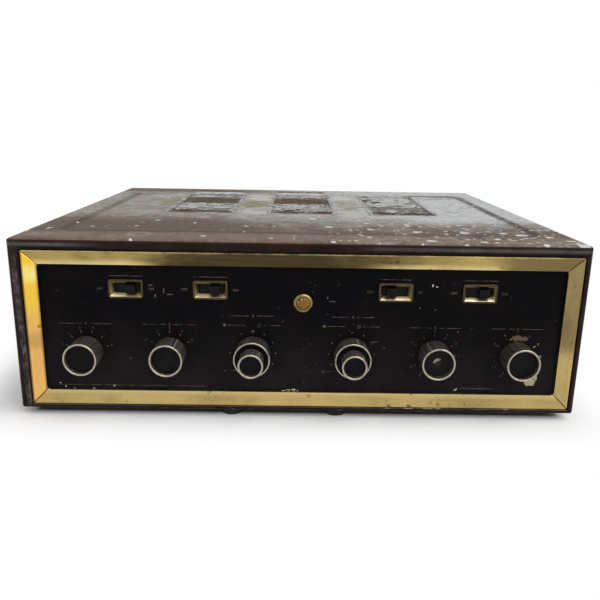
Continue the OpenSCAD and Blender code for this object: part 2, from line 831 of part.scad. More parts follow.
// A rail along X whose outer edge lies on X, mitred at both ends, with room for the opening's rounded corners
module rail(length) {
  outer = length / 2 - rail_seam;
  reach = rail_w + opening_r;
  intersection() {
    translate([-length / 2, 0, 0]) rotate([90, 0, 90]) linear_extrude(length) rail_section(reach);
    translate([0, -cut, 0]) deep(rail_d + 2 * cut)
      polygon([[-outer, 0], [outer, 0], [outer - reach, -reach], [reach - outer, -reach]]);
  }
}

module bezel_rails() {
  color("#b08d4a") in_front() translate([0, bezel_set, 0]) difference() {
    union() {
      for (turn = [0, 180]) rotate([0, turn, 0]) translate([0, 0, bezel_h / 2]) rail(bezel_w);
      for (turn = [90, 270]) rotate([0, turn, 0]) translate([0, 0, bezel_w / 2]) rail(bezel_h);
    }
    translate([0, -cut, 0]) deep(rail_d + 2 * cut)
      round_rect(bezel_w - 2 * rail_w, bezel_h - 2 * rail_w, opening_r);
  }
}

// Holes that both front panels share
module control_holes() {
  for (x = knob_x) translate([x, -knob_drop]) circle(bushing_r + bushing_gap);
  for (x = switch_x) translate([x, switch_rise]) square([window_w, window_h], center = true);
  translate([0, pilot_rise]) circle(jewel_r + pilot_wall + 2 * pilot_gap);
}

module front_panel() {
  color("#1b1614") in_front() translate([0, panel_y, 0]) deep(panel_t) difference() {
    square([panel_w, panel_h], center = true);
    control_holes();
  }
}

// Its folds end inside the chassis's sides
module subpanel() {
  fold_w = chassis_w - 2 * (chassis_t + plate_gap);
  color("#9a9a94") in_front() {
    translate([0, subpanel_y, 0]) deep(subpanel_t) difference() {
      square([panel_w, panel_h], center = true);
      control_holes();
    }
    for (side = [0, 1]) mirror([0, 0, side])
      translate([-fold_w / 2, subpanel_y, panel_h / 2 - subpanel_t])
        cube([fold_w, subpanel_t + subpanel_fold, subpanel_t]);
  }
}

// A box that narrows from one rectangle to another along Y
module funnel(w0, h0, w1, h1, length) {
  intersection() {
    translate([0, 0, -h0 / 2]) linear_extrude(h0)
      polygon([[-w0 / 2, 0], [w0 / 2, 0], [w1 / 2, length], [-w1 / 2, length]]);
    translate([-w0 / 2, 0, 0]) rotate([90, 0, 90]) linear_extrude(w0)
      polygon([[0, -h0 / 2], [0, h0 / 2], [length, h1 / 2], [length, -h1 / 2]]);
  }
}

module at_switches() {
  for (x = switch_x) translate([x, 0, switch_rise]) children();
}

module switch_frames() {
  trough_d = trough_out + panel_t + subpanel_t;
  color("#b8965a") in_front() at_switches() translate([0, panel_y - trough_out, 0]) difference() {
    union() {
      deep(trough_out) round_rect(trough_w, trough_h, trough_r);
      deep(trough_d) square([window_w - 2 * trough_gap, window_h - 2 * trough_gap], center = true);
    }
    funnel(trough_w - 2 * trough_flange, trough_h - 2 * trough_flange, slot_w, slot_h, trough_d);
    translate([0, -cut, 0]) deep(trough_d + 2 * cut) square([slot_w, slot_h], center = true);
  }
}

module switch_bodies() {
  color("#7d7a72") in_front() at_switches() translate([0, back_y, 0]) difference() {
    union() {
      deep(switch_d) square([switch_w, switch_h], center = true);
      deep(switch_wall) square([switch_w + 2 * switch_ear, switch_h - 2 * switch_wall], center = true);
    }
    translate([0, -cut, 0]) deep(switch_d - switch_wall + cut)
      square([switch_w - 2 * switch_wall, switch_h - 2 * switch_wall], center = true);
  }
}

// A slide in its rest position, at the right or the left end of its travel
module slide(index, rest_end) {
  color("#141312") in_front() translate([switch_x[index] + rest_end * slide_travel / 2, 0, switch_rise]) {
    translate([0, slide_y, 0]) deep(slide_plate_t) square([slide_plate_w, slide_plate_h], center = true);
    translate([0, panel_y - nub_out, 0]) deep(slide_y + slide_plate_t - panel_y + nub_out)
      square([nub_w, nub_h], center = true);
  }
}

module slide_far_left() { slide(0, 1); }
module slide_near_left() { slide(1, 1); }
module slide_near_right() { slide(2, -1); }
module slide_far_right() { slide(3, 1); }

module pilot_ring() {
  bore_r = jewel_r + pilot_gap;
  barrel_r = bore_r + pilot_wall;
  color("#c09a55") in_front() turned_to_front(0, back_y, pilot_rise) rotate_extrude() polygon([
    [bore_r, 0], [barrel_r, 0], [barrel_r, back_y - panel_y], [pilot_r, back_y - panel_y],
    [pilot_r, back_y - panel_y + pilot_out / 2], [barrel_r, back_y - panel_y + pilot_out],
    [bore_r, back_y - panel_y + pilot_out]
  ]);
}

module pilot_jewel() {
  base_h = back_y - panel_y + pilot_out;
  dome_r = (jewel_r * jewel_r + jewel_out * jewel_out) / 2 / jewel_out;
  color("#d8851c") in_front() turned_to_front(0, back_y, pilot_rise) intersection() {
    cylinder(h = base_h + jewel_out, r = jewel_r);
    translate([0, 0, base_h + jewel_out - dome_r]) sphere(r = dome_r);
  }
}

module pilot_lamp() {
  holder_r = jewel_r + 2 * pilot_wall;
  color("#a9a49a") in_front() turned_to_rear(0, back_y, pilot_rise) {
    difference() {
      cylinder(h = lamp_d, r = holder_r);
      translate([0, 0, -cut]) cylinder(h = lamp_d - pilot_wall + cut, r = holder_r - pilot_wall);
    }
    translate([0, 0, lamp_d / 2]) cylinder(h = lamp_d / 2 - pilot_wall, r = bulb_r);
    translate([0, 0, lamp_d / 2]) sphere(r = bulb_r);
  }
}

// The flattened end of a shaft, or the hole that it keys into
module d_section(r, flat) {
  difference() {
    circle(r);
    translate([-r - cut, r - flat]) square([2 * (r + cut), r + cut]);
  }
}

// A knob's turned body with its nut room behind and its hollow front
module knob_body(r, length, room_r, room_h, hollow) {
  rotate_extrude() polygon([
    [0, room_h], [room_r, room_h], [room_r, 0], [r - knob_bevel, 0], [r, knob_bevel],
    [r, length - ring_h], [r - ring_w, length - ring_h], [r - ring_w, length - hollow], [0, length - hollow]
  ]);
}

module index_groove(r, length) {
  translate([-index_w / 2, r - index_depth, index_w]) cube([index_w, index_depth + cut, length]);
}

// A single knob, keyed on a D shaft; an open one has lost its cap and shows the shaft
module single_knob(index, x, open = false) {
  hole_top = open ? single_len : single_hole;
  color("#221a16") in_front() turned_to_front(x, knob_y, -knob_drop, index) difference() {
    knob_body(single_r, single_len, nut_room_r, nut_room_h, cup);
    translate([0, 0, nut_room_h - cut]) linear_extrude(hole_top - nut_room_h + cut)
      d_section(shaft_r + knob_slip, flat_depth);
    index_groove(single_r, single_len);
  }
}

module outer_knob(index, x) {
  color("#221a16") in_front() turned_to_front(x, knob_y, -knob_drop, index) difference() {
    knob_body(outer_r, outer_len, nut_room_r, nut_room_h, dish);
    translate([0, 0, nut_room_h - cut]) cylinder(h = outer_len, r = shaft_r + knob_slip);
    index_groove(outer_r, outer_len);
  }
}

module inner_knob(index, x) {
  color("#221a16") in_front() turned_to_front(x, inner_y, -knob_drop, index) difference() {
    knob_body(inner_r, inner_len, inner_r / 2, knob_gap, cup);
    translate([0, 0, -cut]) linear_extrude(inner_hole + cut)
      d_section(thin_shaft_r + knob_slip, thin_flat_depth);
    index_groove(inner_r, inner_len);
  }
}

module selector_knob() { single_knob(selector_index, knob_x[0]); }
module mode_knob() { single_knob(mode_index, knob_x[1]); }
module tone_a_outer_knob() { outer_knob(tone_a_outer_index, knob_x[2]); }
module tone_a_inner_knob() { inner_knob(tone_a_inner_index, knob_x[2]); }
module tone_b_outer_knob() { outer_knob(tone_b_outer_index, knob_x[3]); }
module tone_b_inner_knob() { inner_knob(tone_b_inner_index, knob_x[3]); }
module balance_knob() { single_knob(balance_index, knob_x[4], true); }
module loudness_knob() { single_knob(loudness_index, knob_x[5]); }

module knob_ring(x, y, r, length) {
  color("#d9d2c0") in_front() turned_to_front(x, y, -knob_drop) rotate_extrude() polygon([
    [r - ring_w, length - ring_h], [r, length - ring_h], [r, length - ring_bevel], [r - ring_bevel, length],
    [r - ring_w + ring_bevel, length], [r - ring_w, length - ring_bevel]
  ]);
}

module selector_rim() { knob_ring(knob_x[0], knob_y, single_r, single_len); }
module mode_rim() { knob_ring(knob_x[1], knob_y, single_r, single_len); }
module tone_a_outer_rim() { knob_ring(knob_x[2], knob_y, outer_r, outer_len); }
module tone_a_inner_rim() { knob_ring(knob_x[2], inner_y, inner_r, inner_len); }
module tone_b_outer_rim() { knob_ring(knob_x[3], knob_y, outer_r, outer_len); }
module tone_b_inner_rim() { knob_ring(knob_x[3], inner_y, inner_r, inner_len); }
module balance_rim() { knob_ring(knob_x[4], knob_y, single_r, single_len); }
module loudness_rim() { knob_ring(knob_x[5], knob_y, single_r, single_len); }

// A shaft with a flat on its front end, its foot and its stop disc behind the steel panel
module keyed_shaft(r, flat, foot, tip, flat_from, disc_r, disc_at, disc_t) {
  difference() {
    translate([0, 0, -foot]) cylinder(h = foot + tip, r = r);
    translate([-r - cut, r - flat, flat_from]) cube([2 * (r + cut), r + cut, tip]);
  }
  translate([0, 0, -disc_at - disc_t]) cylinder(h = disc_t, r = disc_r);
}

module pot_shaft(index, x, tip = single_tip) {
  color("#c9c6bd") in_front() turned_to_front(x, back_y, -knob_drop, index)
    keyed_shaft(shaft_r, flat_depth, wiper_at + wiper_t, tip, bushing_len + nut_room,
      wiper_r, wiper_at, wiper_t);
}

module switch_shaft(index, x) {
  foot = index_plate_t + 2 * wafer_pitch + wafer_t;
  color("#c9c6bd") in_front() turned_to_front(x, back_y, -knob_drop, index)
    keyed_shaft(shaft_r, flat_depth, foot, single_tip, bushing_len + nut_room,
      collar_r, index_plate_t + wiper_gap, wiper_t);
}

// The hollow shaft of the outer knob
module sleeve_shaft(x) {
  color("#c9a968") in_front() turned_to_front(x, back_y, -knob_drop) difference() {
    union() {
      translate([0, 0, -wiper_at - wiper_t]) cylinder(h = wiper_at + wiper_t + sleeve_tip, r = shaft_r);
      translate([0, 0, -wiper_at - wiper_t]) cylinder(h = wiper_t, r = wiper_r);
    }
    translate([0, 0, -wiper_at - wiper_t - cut])
      cylinder(h = wiper_at + wiper_t + sleeve_tip + 2 * cut, r = thin_shaft_r + run_fit);
  }
}

// The thin shaft of the inner knob, through the sleeve into the rear can
module inner_shaft(index, x) {
  color("#c9c6bd") in_front() turned_to_front(x, back_y, -knob_drop, index)
    keyed_shaft(thin_shaft_r, thin_flat_depth, pot_d + wiper_at + wiper_t, thin_tip, sleeve_tip + nut_room,
      wiper_r, pot_d + wiper_at, wiper_t);
}

module selector_shaft() { switch_shaft(selector_index, knob_x[0]); }
module mode_shaft() { switch_shaft(mode_index, knob_x[1]); }
module tone_a_sleeve() { sleeve_shaft(knob_x[2]); }
module tone_a_shaft() { inner_shaft(tone_a_inner_index, knob_x[2]); }
module tone_b_sleeve() { sleeve_shaft(knob_x[3]); }
module tone_b_shaft() { inner_shaft(tone_b_inner_index, knob_x[3]); }
module balance_shaft() { pot_shaft(balance_index, knob_x[4], open_tip); }
module loudness_shaft() { pot_shaft(loudness_index, knob_x[5]); }

module bushing() {
  cylinder(h = bushing_len, r = bushing_r);
}

// A bore for a running shaft from behind the steel panel out through the bushing
module shaft_bore(depth) {
  translate([0, 0, -depth]) cylinder(h = depth + bushing_len + cut, r = shaft_r + run_fit);
}

module rotary_switches() {
  wafers_at = [for (i = [1, 2]) index_plate_t + i * wafer_pitch];
  tie_x = (wafer_r + collar_r) / 2;
  color("#8a6a3c") in_front() for (x = [knob_x[0], knob_x[1]])
    turned_to_front(x, back_y, -knob_drop) difference() {
      union() {
        bushing();
        translate([0, 0, -index_plate_t]) cylinder(h = index_plate_t, r = wafer_r);
        for (at = wafers_at) translate([0, 0, -at - wafer_t]) cylinder(h = wafer_t, r = wafer_r);
        for (side = [-1, 1]) translate([side * tie_x, 0, -wafers_at[1] - wafer_t])
          cylinder(h = wafers_at[1] + wafer_t, r = tie_r);
      }
      shaft_bore(index_plate_t + cut);
      translate([0, 0, -wafers_at[1] - wafer_t - cut])
        cylinder(h = wafers_at[1] + wafer_t - index_plate_t, r = shaft_r + wiper_gap);
    }
}

module can_hollow(at) {
  translate([0, 0, -at - pot_d + pot_wall]) cylinder(h = pot_d - 2 * pot_wall, r = pot_r - pot_wall);
}

module single_pots() {
  color("#b5b0a4") in_front() for (x = [knob_x[4], knob_x[5]])
    turned_to_front(x, back_y, -knob_drop) difference() {
      union() {
        bushing();
        translate([0, 0, -pot_d]) cylinder(h = pot_d, r = pot_r);
      }
      shaft_bore(pot_wall + cut);
      can_hollow(0);
    }
}

module dual_pots() {
  color("#b5b0a4") in_front() for (x = [knob_x[2], knob_x[3]])
    turned_to_front(x, back_y, -knob_drop) difference() {
      union() {
        bushing();
        translate([0, 0, -2 * pot_d]) cylinder(h = 2 * pot_d, r = pot_r);
      }
      shaft_bore(pot_wall + cut);
      can_hollow(0);
      can_hollow(pot_d);
      translate([0, 0, -pot_d - pot_wall - cut])
        cylinder(h = 2 * (pot_wall + cut), r = thin_shaft_r + run_fit);
    }
}

module control_nuts() {
  color("#a8a59b") in_front() for (x = knob_x) turned_to_front(x, panel_y, -knob_drop) difference() {
    cylinder(h = nut_t, r = nut_corner_r, $fn = 6);
    translate([0, 0, -cut]) cylinder(h = nut_t + 2 * cut, r = bushing_r + nut_slip);
  }
}

module at_tubes() {
  for (at = concat(output_tube_at, small_tube_at)) translate([at[0], at[1], deck_z]) children();
}

// What the apron is cut out for, seen from behind
module apron_cuts() {
  translate([jack_x, apron_mid_z])
    square([jack_board_w - terminal_border, jack_board_h - terminal_border], center = true);
  translate([-strip_left, apron_mid_z]) square([strip_w - terminal_border, strip_h / 2], center = true);
  translate([fuse_x, apron_mid_z]) circle(fuse_r + apron_gap);
  for (x = outlet_x) translate([x, apron_mid_z])
    square([outlet_w - 2 * (outlet_lip - apron_gap), outlet_h - 2 * (outlet_lip - apron_gap)], center = true);
  translate([cord_x, apron_mid_z]) circle(grommet_neck_r + apron_gap);
}

module chassis() {
  deck_l = apron_y - control_bay;
  wall_h = deck_z - floor_z;
  color("#a3a39c") in_chassis() difference() {
    union() {
      translate([-chassis_w / 2, control_bay, deck_z - chassis_t]) cube([chassis_w, deck_l, chassis_t]);
      translate([-chassis_w / 2, control_bay, floor_z]) cube([chassis_w, chassis_t, wall_h]);
      translate([-chassis_w / 2, apron_y - chassis_t, floor_z]) cube([chassis_w, chassis_t, wall_h]);
      for (side = [0, 1]) mirror([side, 0, 0]) {
        translate([-chassis_w / 2, back_y, floor_z]) cube([chassis_t, apron_y - back_y, wall_h]);
        translate([-chassis_w / 2, back_y, floor_z]) cube([floor_flange, apron_y - back_y, chassis_t]);
      }
    }
    translate([0, apron_y - chassis_t - cut, 0]) deep(chassis_t + 2 * cut) apron_cuts();
    at_tubes() translate([0, 0, -chassis_t - cut])
      cylinder(h = chassis_t + 2 * cut, r = socket_neck_r + socket_gap);
    for (sx = [-1, 1], y = chassis_bolt_y)
      translate([sx * chassis_bolt_x, y, 0]) screw_hole(floor_z, floor_z + chassis_t);
  }
}

// A block with its four upright edges and its upper edges rounded
module rounded_cover(w, l, h) {
  intersection() {
    linear_extrude(h) round_rect(w, l, cover_round);
    translate([0, l / 2, 0]) rotate([90, 0, 0]) linear_extrude(l) round_rect(w, 2 * h, cover_round);
    translate([-w / 2, 0, 0]) rotate([90, 0, 90]) linear_extrude(w) round_rect(l, 2 * h, cover_round);
  }
}

module at_power() {
  translate([chassis_w / 2 - iron_side - power_w / 2, control_bay + iron_front + power_l / 2, deck_z])
    children();
}

module power_core() {
  color("#4d4a46") in_chassis() at_power()
    translate([-power_w / 2, -power_l / 2, 0]) cube([power_w, power_l, power_core_h]);
}

module power_covers() {
  color("#1d1c1b") in_chassis() at_power() translate([0, 0, power_core_h]) {
    translate([-power_w / 2, -power_l / 2, 0]) cube([power_w, power_l, cover_flange_t]);
    rounded_cover(power_w - 2 * power_step, power_l - 2 * power_step, power_cover_h);
  }
}

module output_transformers() {
  color("#1d1c1b") in_chassis() for (i = [0, 1])
    translate([-(chassis_w / 2 - iron_side - output_w / 2),
      control_bay + iron_front + output_l / 2 + i * (output_l + output_gap), deck_z]) {
      translate([-output_w / 2, -output_l / 2, 0]) cube([output_w, output_l, cover_flange_t]);
      rounded_cover(output_w - power_step, output_l - power_step, output_h);
    }
}

module filter_cans() {
  color("#c4c4c0") in_chassis() for (side = [-1, 1])
    translate([side * vent_pitch / 2, apron_y - can_rear, deck_z]) rotate_extrude() polygon([
      [0, 0], [can_r, 0], [can_r, 2 * can_seam], [can_r - can_seam, 3 * can_seam],
      [can_r - can_seam, can_h - can_seam], [can_r - 2 * can_seam, can_h], [0, can_h]
    ]);
}

// The outline of a tube's glass, or of the space in it, as a turned half section
module bulb_half(r, low, high) {
  translate([0, low]) square([r, high - low - r]);
  translate([0, high - r]) intersection() {
    circle(r);
    square(r);
  }
}

module tube_glass(height) {
  translate([0, 0, socket_h]) {
    rotate_extrude() difference() {
      bulb_half(tube_r, 0, height);
      bulb_half(tube_r - glass_t, 2 * glass_t, height - glass_t);
    }
    translate([0, 0, height - glass_t / 2]) cylinder(h = tip_h + glass_t / 2, r = tip_r);
  }
}

module tubes() {
  color("#cfd6d6", 0.5) in_chassis() {
    for (at = output_tube_at) translate([at[0], at[1], deck_z]) tube_glass(output_tube_h);
    for (at = small_tube_at) translate([at[0], at[1], deck_z]) tube_glass(small_tube_h);
  }
}

// Plate, spacers and stem in one tube, standing on the glass's floor
module electrodes(height) {
  mica_r = tube_r - glass_t - mica_gap;
  plate_low = height * stem_share;
  plate_high = height - tube_r - mica_gap;
  translate([0, 0, socket_h + 2 * glass_t]) cylinder(h = plate_low, r = plate_r / 2);
  translate([0, 0, socket_h + plate_low]) cylinder(h = plate_high - plate_low, r = plate_r);
  for (z = [plate_low, plate_high - mica_t])
    translate([0, 0, socket_h + z]) cylinder(h = mica_t, r = mica_r);
}

module tube_electrodes() {
  color("#55524e") in_chassis() {
    for (at = output_tube_at) translate([at[0], at[1], deck_z]) electrodes(output_tube_h);
    for (at = small_tube_at) translate([at[0], at[1], deck_z]) electrodes(small_tube_h);
  }
}

module tube_sockets() {
  color("#3a2a1c") in_chassis() at_tubes() {
    cylinder(h = socket_h, r = socket_r);
    translate([0, 0, -chassis_t - socket_d])
      cylinder(h = chassis_t + socket_d + socket_h, r = socket_neck_r);
  }
}

module component_boards() {
  low = deck_z - chassis_t - board_drop;
  count = floor((board_w - 2 * (2 * post_edge + resistor_r)) / resistor_pitch);
  color("#8f6b35") in_chassis() for (side = [-1, 1])
    translate([side * (chassis_w / 2 - board_side - board_w / 2), tube_y + output_tube_pitch / 2, low]) {
      translate([-board_w / 2, -board_l / 2, 0]) cube([board_w, board_l, board_t]);
      for (sx = [-1, 1], sy = [-1, 1])
        translate([sx * (board_w / 2 - post_edge), sy * (board_l / 2 - post_edge), 0])
          cylinder(h = board_drop, r = post_r);
      for (i = [0 : count])
        translate([(i - count / 2) * resistor_pitch, -resistor_l / 2, board_t + resistor_r - resistor_bed])
          rotate([-90, 0, 0]) cylinder(h = resistor_l, r = resistor_r);
    }
}

module terminal_boards() {
  color("#7a4f2a") in_chassis() translate([0, apron_y, 0]) {
    deep(terminal_t) difference() {
      translate([jack_x, apron_mid_z]) square([jack_board_w, jack_board_h], center = true);
      for (at = jack_at) translate(at) circle(jack_neck_r + apron_gap);
    }
    deep(2 * terminal_t) difference() {
      translate([-strip_left, apron_mid_z]) square([strip_w, strip_h], center = true);
      for (x = strip_at) translate([x, apron_mid_z]) circle(screw_r + screw_gap);
    }
  }
}

module input_jacks() {
  color("#c9c3b2") in_chassis() for (at = jack_at)
    turned_to_rear(at[0], apron_y + terminal_t, at[1]) difference() {
      union() {
        cylinder(h = jack_len, r = jack_r);
        cylinder(h = terminal_t / 2, r = jack_flange_r);
        translate([0, 0, -terminal_t - jack_tail])
          cylinder(h = terminal_t + jack_tail + cut, r = jack_neck_r);
      }
      cylinder(h = jack_len + cut, r = jack_hole_r);
    }
}

module chassis_screws() {
  color("#b9b29c") in_chassis() for (x = strip_at)
    turned_to_rear(x, apron_y + 2 * terminal_t, apron_mid_z) {
      cylinder(h = screw_head_h, r = screw_head_r);
      translate([0, 0, -2 * terminal_t - chassis_t - screw_past])
        cylinder(h = 2 * terminal_t + chassis_t + screw_past + screw_head_h / 2, r = screw_r);
    }
}

module fuse_holder() {
  color("#171615") in_chassis() turned_to_rear(fuse_x, apron_y, apron_mid_z) {
    translate([0, 0, -chassis_t - fuse_d]) cylinder(h = chassis_t + fuse_d + fuse_cap, r = fuse_r);
    cylinder(h = 2 * chassis_t, r = fuse_flange_r);
  }
}

module ac_outlets() {
  color("#1a1817") in_chassis() for (x = outlet_x) translate([x, apron_y, apron_mid_z]) difference() {
    union() {
      deep(outlet_t) square([outlet_w, outlet_h], center = true);
      translate([0, -chassis_t - outlet_d, 0]) deep(chassis_t + outlet_d + outlet_t / 2)
        square([outlet_w - 2 * outlet_lip, outlet_h - 2 * outlet_lip], center = true);
    }
    for (side = [-1, 1]) translate([side * blade_pitch / 2, outlet_t - blade_d, 0]) deep(blade_d + cut)
      square([blade_w, blade_h], center = true);
  }
}

module cord_grommet() {
  low = -chassis_t - grommet_t;
  color("#171615") in_chassis() turned_to_rear(cord_x, apron_y, apron_mid_z) rotate_extrude() polygon([
    [cord_r, low], [grommet_r, low], [grommet_r, -chassis_t], [grommet_neck_r, -chassis_t],
    [grommet_neck_r, 0], [grommet_r, 0], [grommet_r, grommet_t], [cord_r, grommet_t]
  ]);
}

case_wrap();
vent_screens();
bottom_plate();
rubber_feet();
case_screws();
bezel_rails();
front_panel();
subpanel();
switch_frames();
switch_bodies();
slide_far_left();
slide_near_left();
slide_near_right();
slide_far_right();
pilot_ring();
pilot_jewel();
pilot_lamp();
selector_knob();
mode_knob();
tone_a_outer_knob();
tone_a_inner_knob();
tone_b_outer_knob();
tone_b_inner_knob();
balance_knob();
loudness_knob();
selector_rim();
mode_rim();
tone_a_outer_rim();
tone_a_inner_rim();
tone_b_outer_rim();
tone_b_inner_rim();
balance_rim();
loudness_rim();
selector_shaft();
mode_shaft();
tone_a_sleeve();
tone_a_shaft();
tone_b_sleeve();
tone_b_shaft();
balance_shaft();
loudness_shaft();
rotary_switches();
dual_pots();
single_pots();
control_nuts();
chassis();
power_core();
power_covers();
output_transformers();
filter_cans();
tubes();
tube_electrodes();
tube_sockets();
component_boards();
terminal_boards();
input_jacks();
chassis_screws();
fuse_holder();
ac_outlets();
cord_grommet();
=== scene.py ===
import math
import random

import bpy
from mathutils import Matrix, Vector, noise


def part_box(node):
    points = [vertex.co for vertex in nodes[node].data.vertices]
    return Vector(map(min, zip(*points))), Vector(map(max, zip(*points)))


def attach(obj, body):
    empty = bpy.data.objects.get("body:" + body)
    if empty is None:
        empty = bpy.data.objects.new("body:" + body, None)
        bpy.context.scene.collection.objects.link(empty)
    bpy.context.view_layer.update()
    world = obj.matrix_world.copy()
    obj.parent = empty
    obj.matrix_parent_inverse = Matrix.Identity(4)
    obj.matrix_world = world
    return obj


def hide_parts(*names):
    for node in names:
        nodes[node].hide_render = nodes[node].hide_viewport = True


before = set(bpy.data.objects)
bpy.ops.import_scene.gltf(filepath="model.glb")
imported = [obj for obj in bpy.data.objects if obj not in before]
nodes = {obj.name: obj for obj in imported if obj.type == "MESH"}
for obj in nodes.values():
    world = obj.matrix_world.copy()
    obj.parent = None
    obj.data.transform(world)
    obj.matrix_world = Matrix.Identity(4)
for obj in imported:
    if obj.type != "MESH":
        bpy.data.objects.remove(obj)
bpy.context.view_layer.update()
mm = 0.001
print("frame loaded,", len(nodes), "CAD nodes")

# places that the pieces share, read from the frame
caseLow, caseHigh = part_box("case_wrap")
panelLow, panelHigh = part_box("front_panel")
panelFace = panelLow.y
frontX = (panelLow.x + panelHigh.x) / 2
frontZ = (panelLow.z + panelHigh.z) / 2


def middleOf(node):
    low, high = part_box(node)
    return (low + high) / 2


def solidBoxes(node):  # corners of each separate solid in a CAD node, from left to right
    mesh = nodes[node].data
    keys = [tuple(round(c * 1e6) for c in v.co) for v in mesh.vertices]
    group = {key: key for key in keys}

    def root(key):
        while group[key] != key:
            group[key] = group[group[key]]
            key = group[key]
        return key

    for face in mesh.polygons:
        first = root(keys[face.vertices[0]])
        for i in face.vertices[1:]:
            group[root(keys[i])] = first
    found = {}
    for key, vertex in zip(keys, mesh.vertices):
        low, high = found.setdefault(root(key), (vertex.co.copy(), vertex.co.copy()))
        for i in range(3):
            low[i] = min(low[i], vertex.co[i])
            high[i] = max(high[i], vertex.co[i])
    return sorted(found.values(), key=lambda pair: tuple(pair[0]))


# the photograph's camera, set out from the middle of the case's lower front edge
cameraSettings = {
    "aside": -5.057 * mm,
    "before": 436.72 * mm,
    "above": 201.674 * mm,
    "pitch": 0.264598,
    "yaw": 0.01094,
    "roll": 0.016987,
    "focalPixels": 656.725,
    "imagePixels": 600,
    "sensor": 36,
}


def buildCamera(s):
    forward = Vector((
        math.sin(s["yaw"]) * math.cos(s["pitch"]),
        math.cos(s["yaw"]) * math.cos(s["pitch"]),
        -math.sin(s["pitch"]),
    ))
    level = Vector((math.cos(s["yaw"]), -math.sin(s["yaw"]), 0))
    upright = level.cross(forward)
    right = level * math.cos(s["roll"]) + upright * math.sin(s["roll"])
    up = upright * math.cos(s["roll"]) - level * math.sin(s["roll"])
    bpy.ops.object.camera_add()
    camera = bpy.context.object
    camera.name = "photoCamera"
    camera.matrix_world = Matrix((right, up, -forward)).transposed().to_4x4()
    camera.location = (
        (caseLow.x + caseHigh.x) / 2 + s["aside"],
        caseLow.y - s["before"],
        caseLow.z + s["above"],
    )
    camera.data.sensor_width = s["sensor"]
    camera.data.lens = s["sensor"] * s["focalPixels"] / s["imagePixels"]
    camera.data.clip_start = 0.01
    bpy.context.scene.camera = camera


buildCamera(cameraSettings)
print("camera placed")


# selecting, adding and finishing pieces
def deselectAll():
    bpy.ops.object.select_all(action="DESELECT")


def hold(obj):  # the only selected object, and the active one
    deselectAll()
    obj.select_set(True)
    bpy.context.view_layer.objects.active = obj
    return obj


def settle(obj):  # place, turn and size go into the mesh
    hold(obj)
    bpy.ops.object.transform_apply(location=True, rotation=True, scale=True)
    return obj


def named(name):  # the object just added
    obj = bpy.context.object
    obj.name = name
    return obj


def editAll():  # edit mode, with everything selected
    bpy.ops.object.mode_set(mode="EDIT")
    bpy.ops.mesh.select_all(action="SELECT")


def drawOut(x, y, z):
    bpy.ops.mesh.extrude_region_move(TRANSFORM_OT_translate={"value": (x, y, z)})


def closeUp():  # faces turned outward, and back to object mode
    bpy.ops.mesh.select_all(action="SELECT")
    bpy.ops.mesh.normals_make_consistent(inside=False)
    bpy.ops.object.mode_set(mode="OBJECT")


def addBlock(name, low, high):
    deselectAll()
    bpy.ops.mesh.primitive_cube_add(size=1, location=(Vector(low) + Vector(high)) / 2)
    obj = named(name)
    obj.scale = Vector(high) - Vector(low)
    return settle(obj)


def addRod(name, start, end, radius, sides=16):
    start, end = Vector(start), Vector(end)
    deselectAll()
    bpy.ops.mesh.primitive_cylinder_add(
        vertices=sides, radius=radius, depth=(end - start).length, location=(start + end) / 2
    )
    obj = named(name)
    obj.rotation_euler = (end - start).to_track_quat("Z", "Y").to_euler()
    return settle(obj)


# a turned piece, extruded ring by ring: (radius, distance along the axis) from foot to tip
def addTurned(name, centre, rings, axis=(0, 0, 1), sides=48):
    deselectAll()
    bpy.ops.mesh.primitive_circle_add(
        vertices=sides, radius=rings[0][0], fill_type="NGON", location=(0, 0, rings[0][1])
    )
    obj = settle(named(name))
    editAll()
    for (r0, h0), (r1, h1) in zip(rings, rings[1:]):
        drawOut(0, 0, h1 - h0)
        bpy.ops.transform.resize(value=(r1 / r0, r1 / r0, 1), center_override=(0, 0, h1))
    closeUp()
    obj.rotation_euler = Vector(axis).to_track_quat("Z", "Y").to_euler()
    obj.location = centre
    return settle(obj)


def pickFaces(obj, test):  # leaves edit mode on, with the faces that pass the test selected
    hold(obj)
    bpy.context.tool_settings.mesh_select_mode = (False, False, True)
    bpy.ops.object.mode_set(mode="EDIT")
    bpy.ops.mesh.select_all(action="DESELECT")
    bpy.ops.object.mode_set(mode="OBJECT")
    for face in obj.data.polygons:
        face.select = test(face)
    bpy.ops.object.mode_set(mode="EDIT")


def applied(obj, kind, **values):  # adds a modifier, sets it and applies it
    hold(obj)
    modifier = obj.modifiers.new(kind.lower(), kind)
    for key, value in values.items():
        setattr(modifier, key, value)
    bpy.ops.object.modifier_apply(modifier=modifier.name)
    return obj


def smoothed(obj, angle=35):
    hold(obj)
    bpy.ops.object.shade_smooth_by_angle(angle=math.radians(angle))
    return obj


def bevelled(obj, width, segments=2, angle=30, smoothAngle=35):
    applied(
        obj, "BEVEL", width=width, segments=segments, limit_method="ANGLE",
        angle_limit=math.radians(angle), use_clamp_overlap=False,
    )
    return smoothed(obj, smoothAngle)


def evened(obj):  # flat faces stay flat beside rounded edges
    return applied(obj, "WEIGHTED_NORMAL", keep_sharp=True)


def joined(name, parts):
    deselectAll()
    for part in parts:
        part.select_set(True)
    bpy.context.view_layer.objects.active = parts[0]
    bpy.ops.object.join()
    obj = named(name)
    obj.data.name = name
    return obj


def copyNode(name, node):  # a merged copy of a CAD node's mesh, to be finished by hand
    obj = bpy.data.objects.new(name, nodes[node].data.copy())
    bpy.context.scene.collection.objects.link(obj)
    hold(obj)
    editAll()
    bpy.ops.mesh.remove_doubles(threshold=0.002 * mm)
    bpy.ops.mesh.dissolve_limited(angle_limit=math.radians(1))
    bpy.ops.object.mode_set(mode="OBJECT")
    return obj


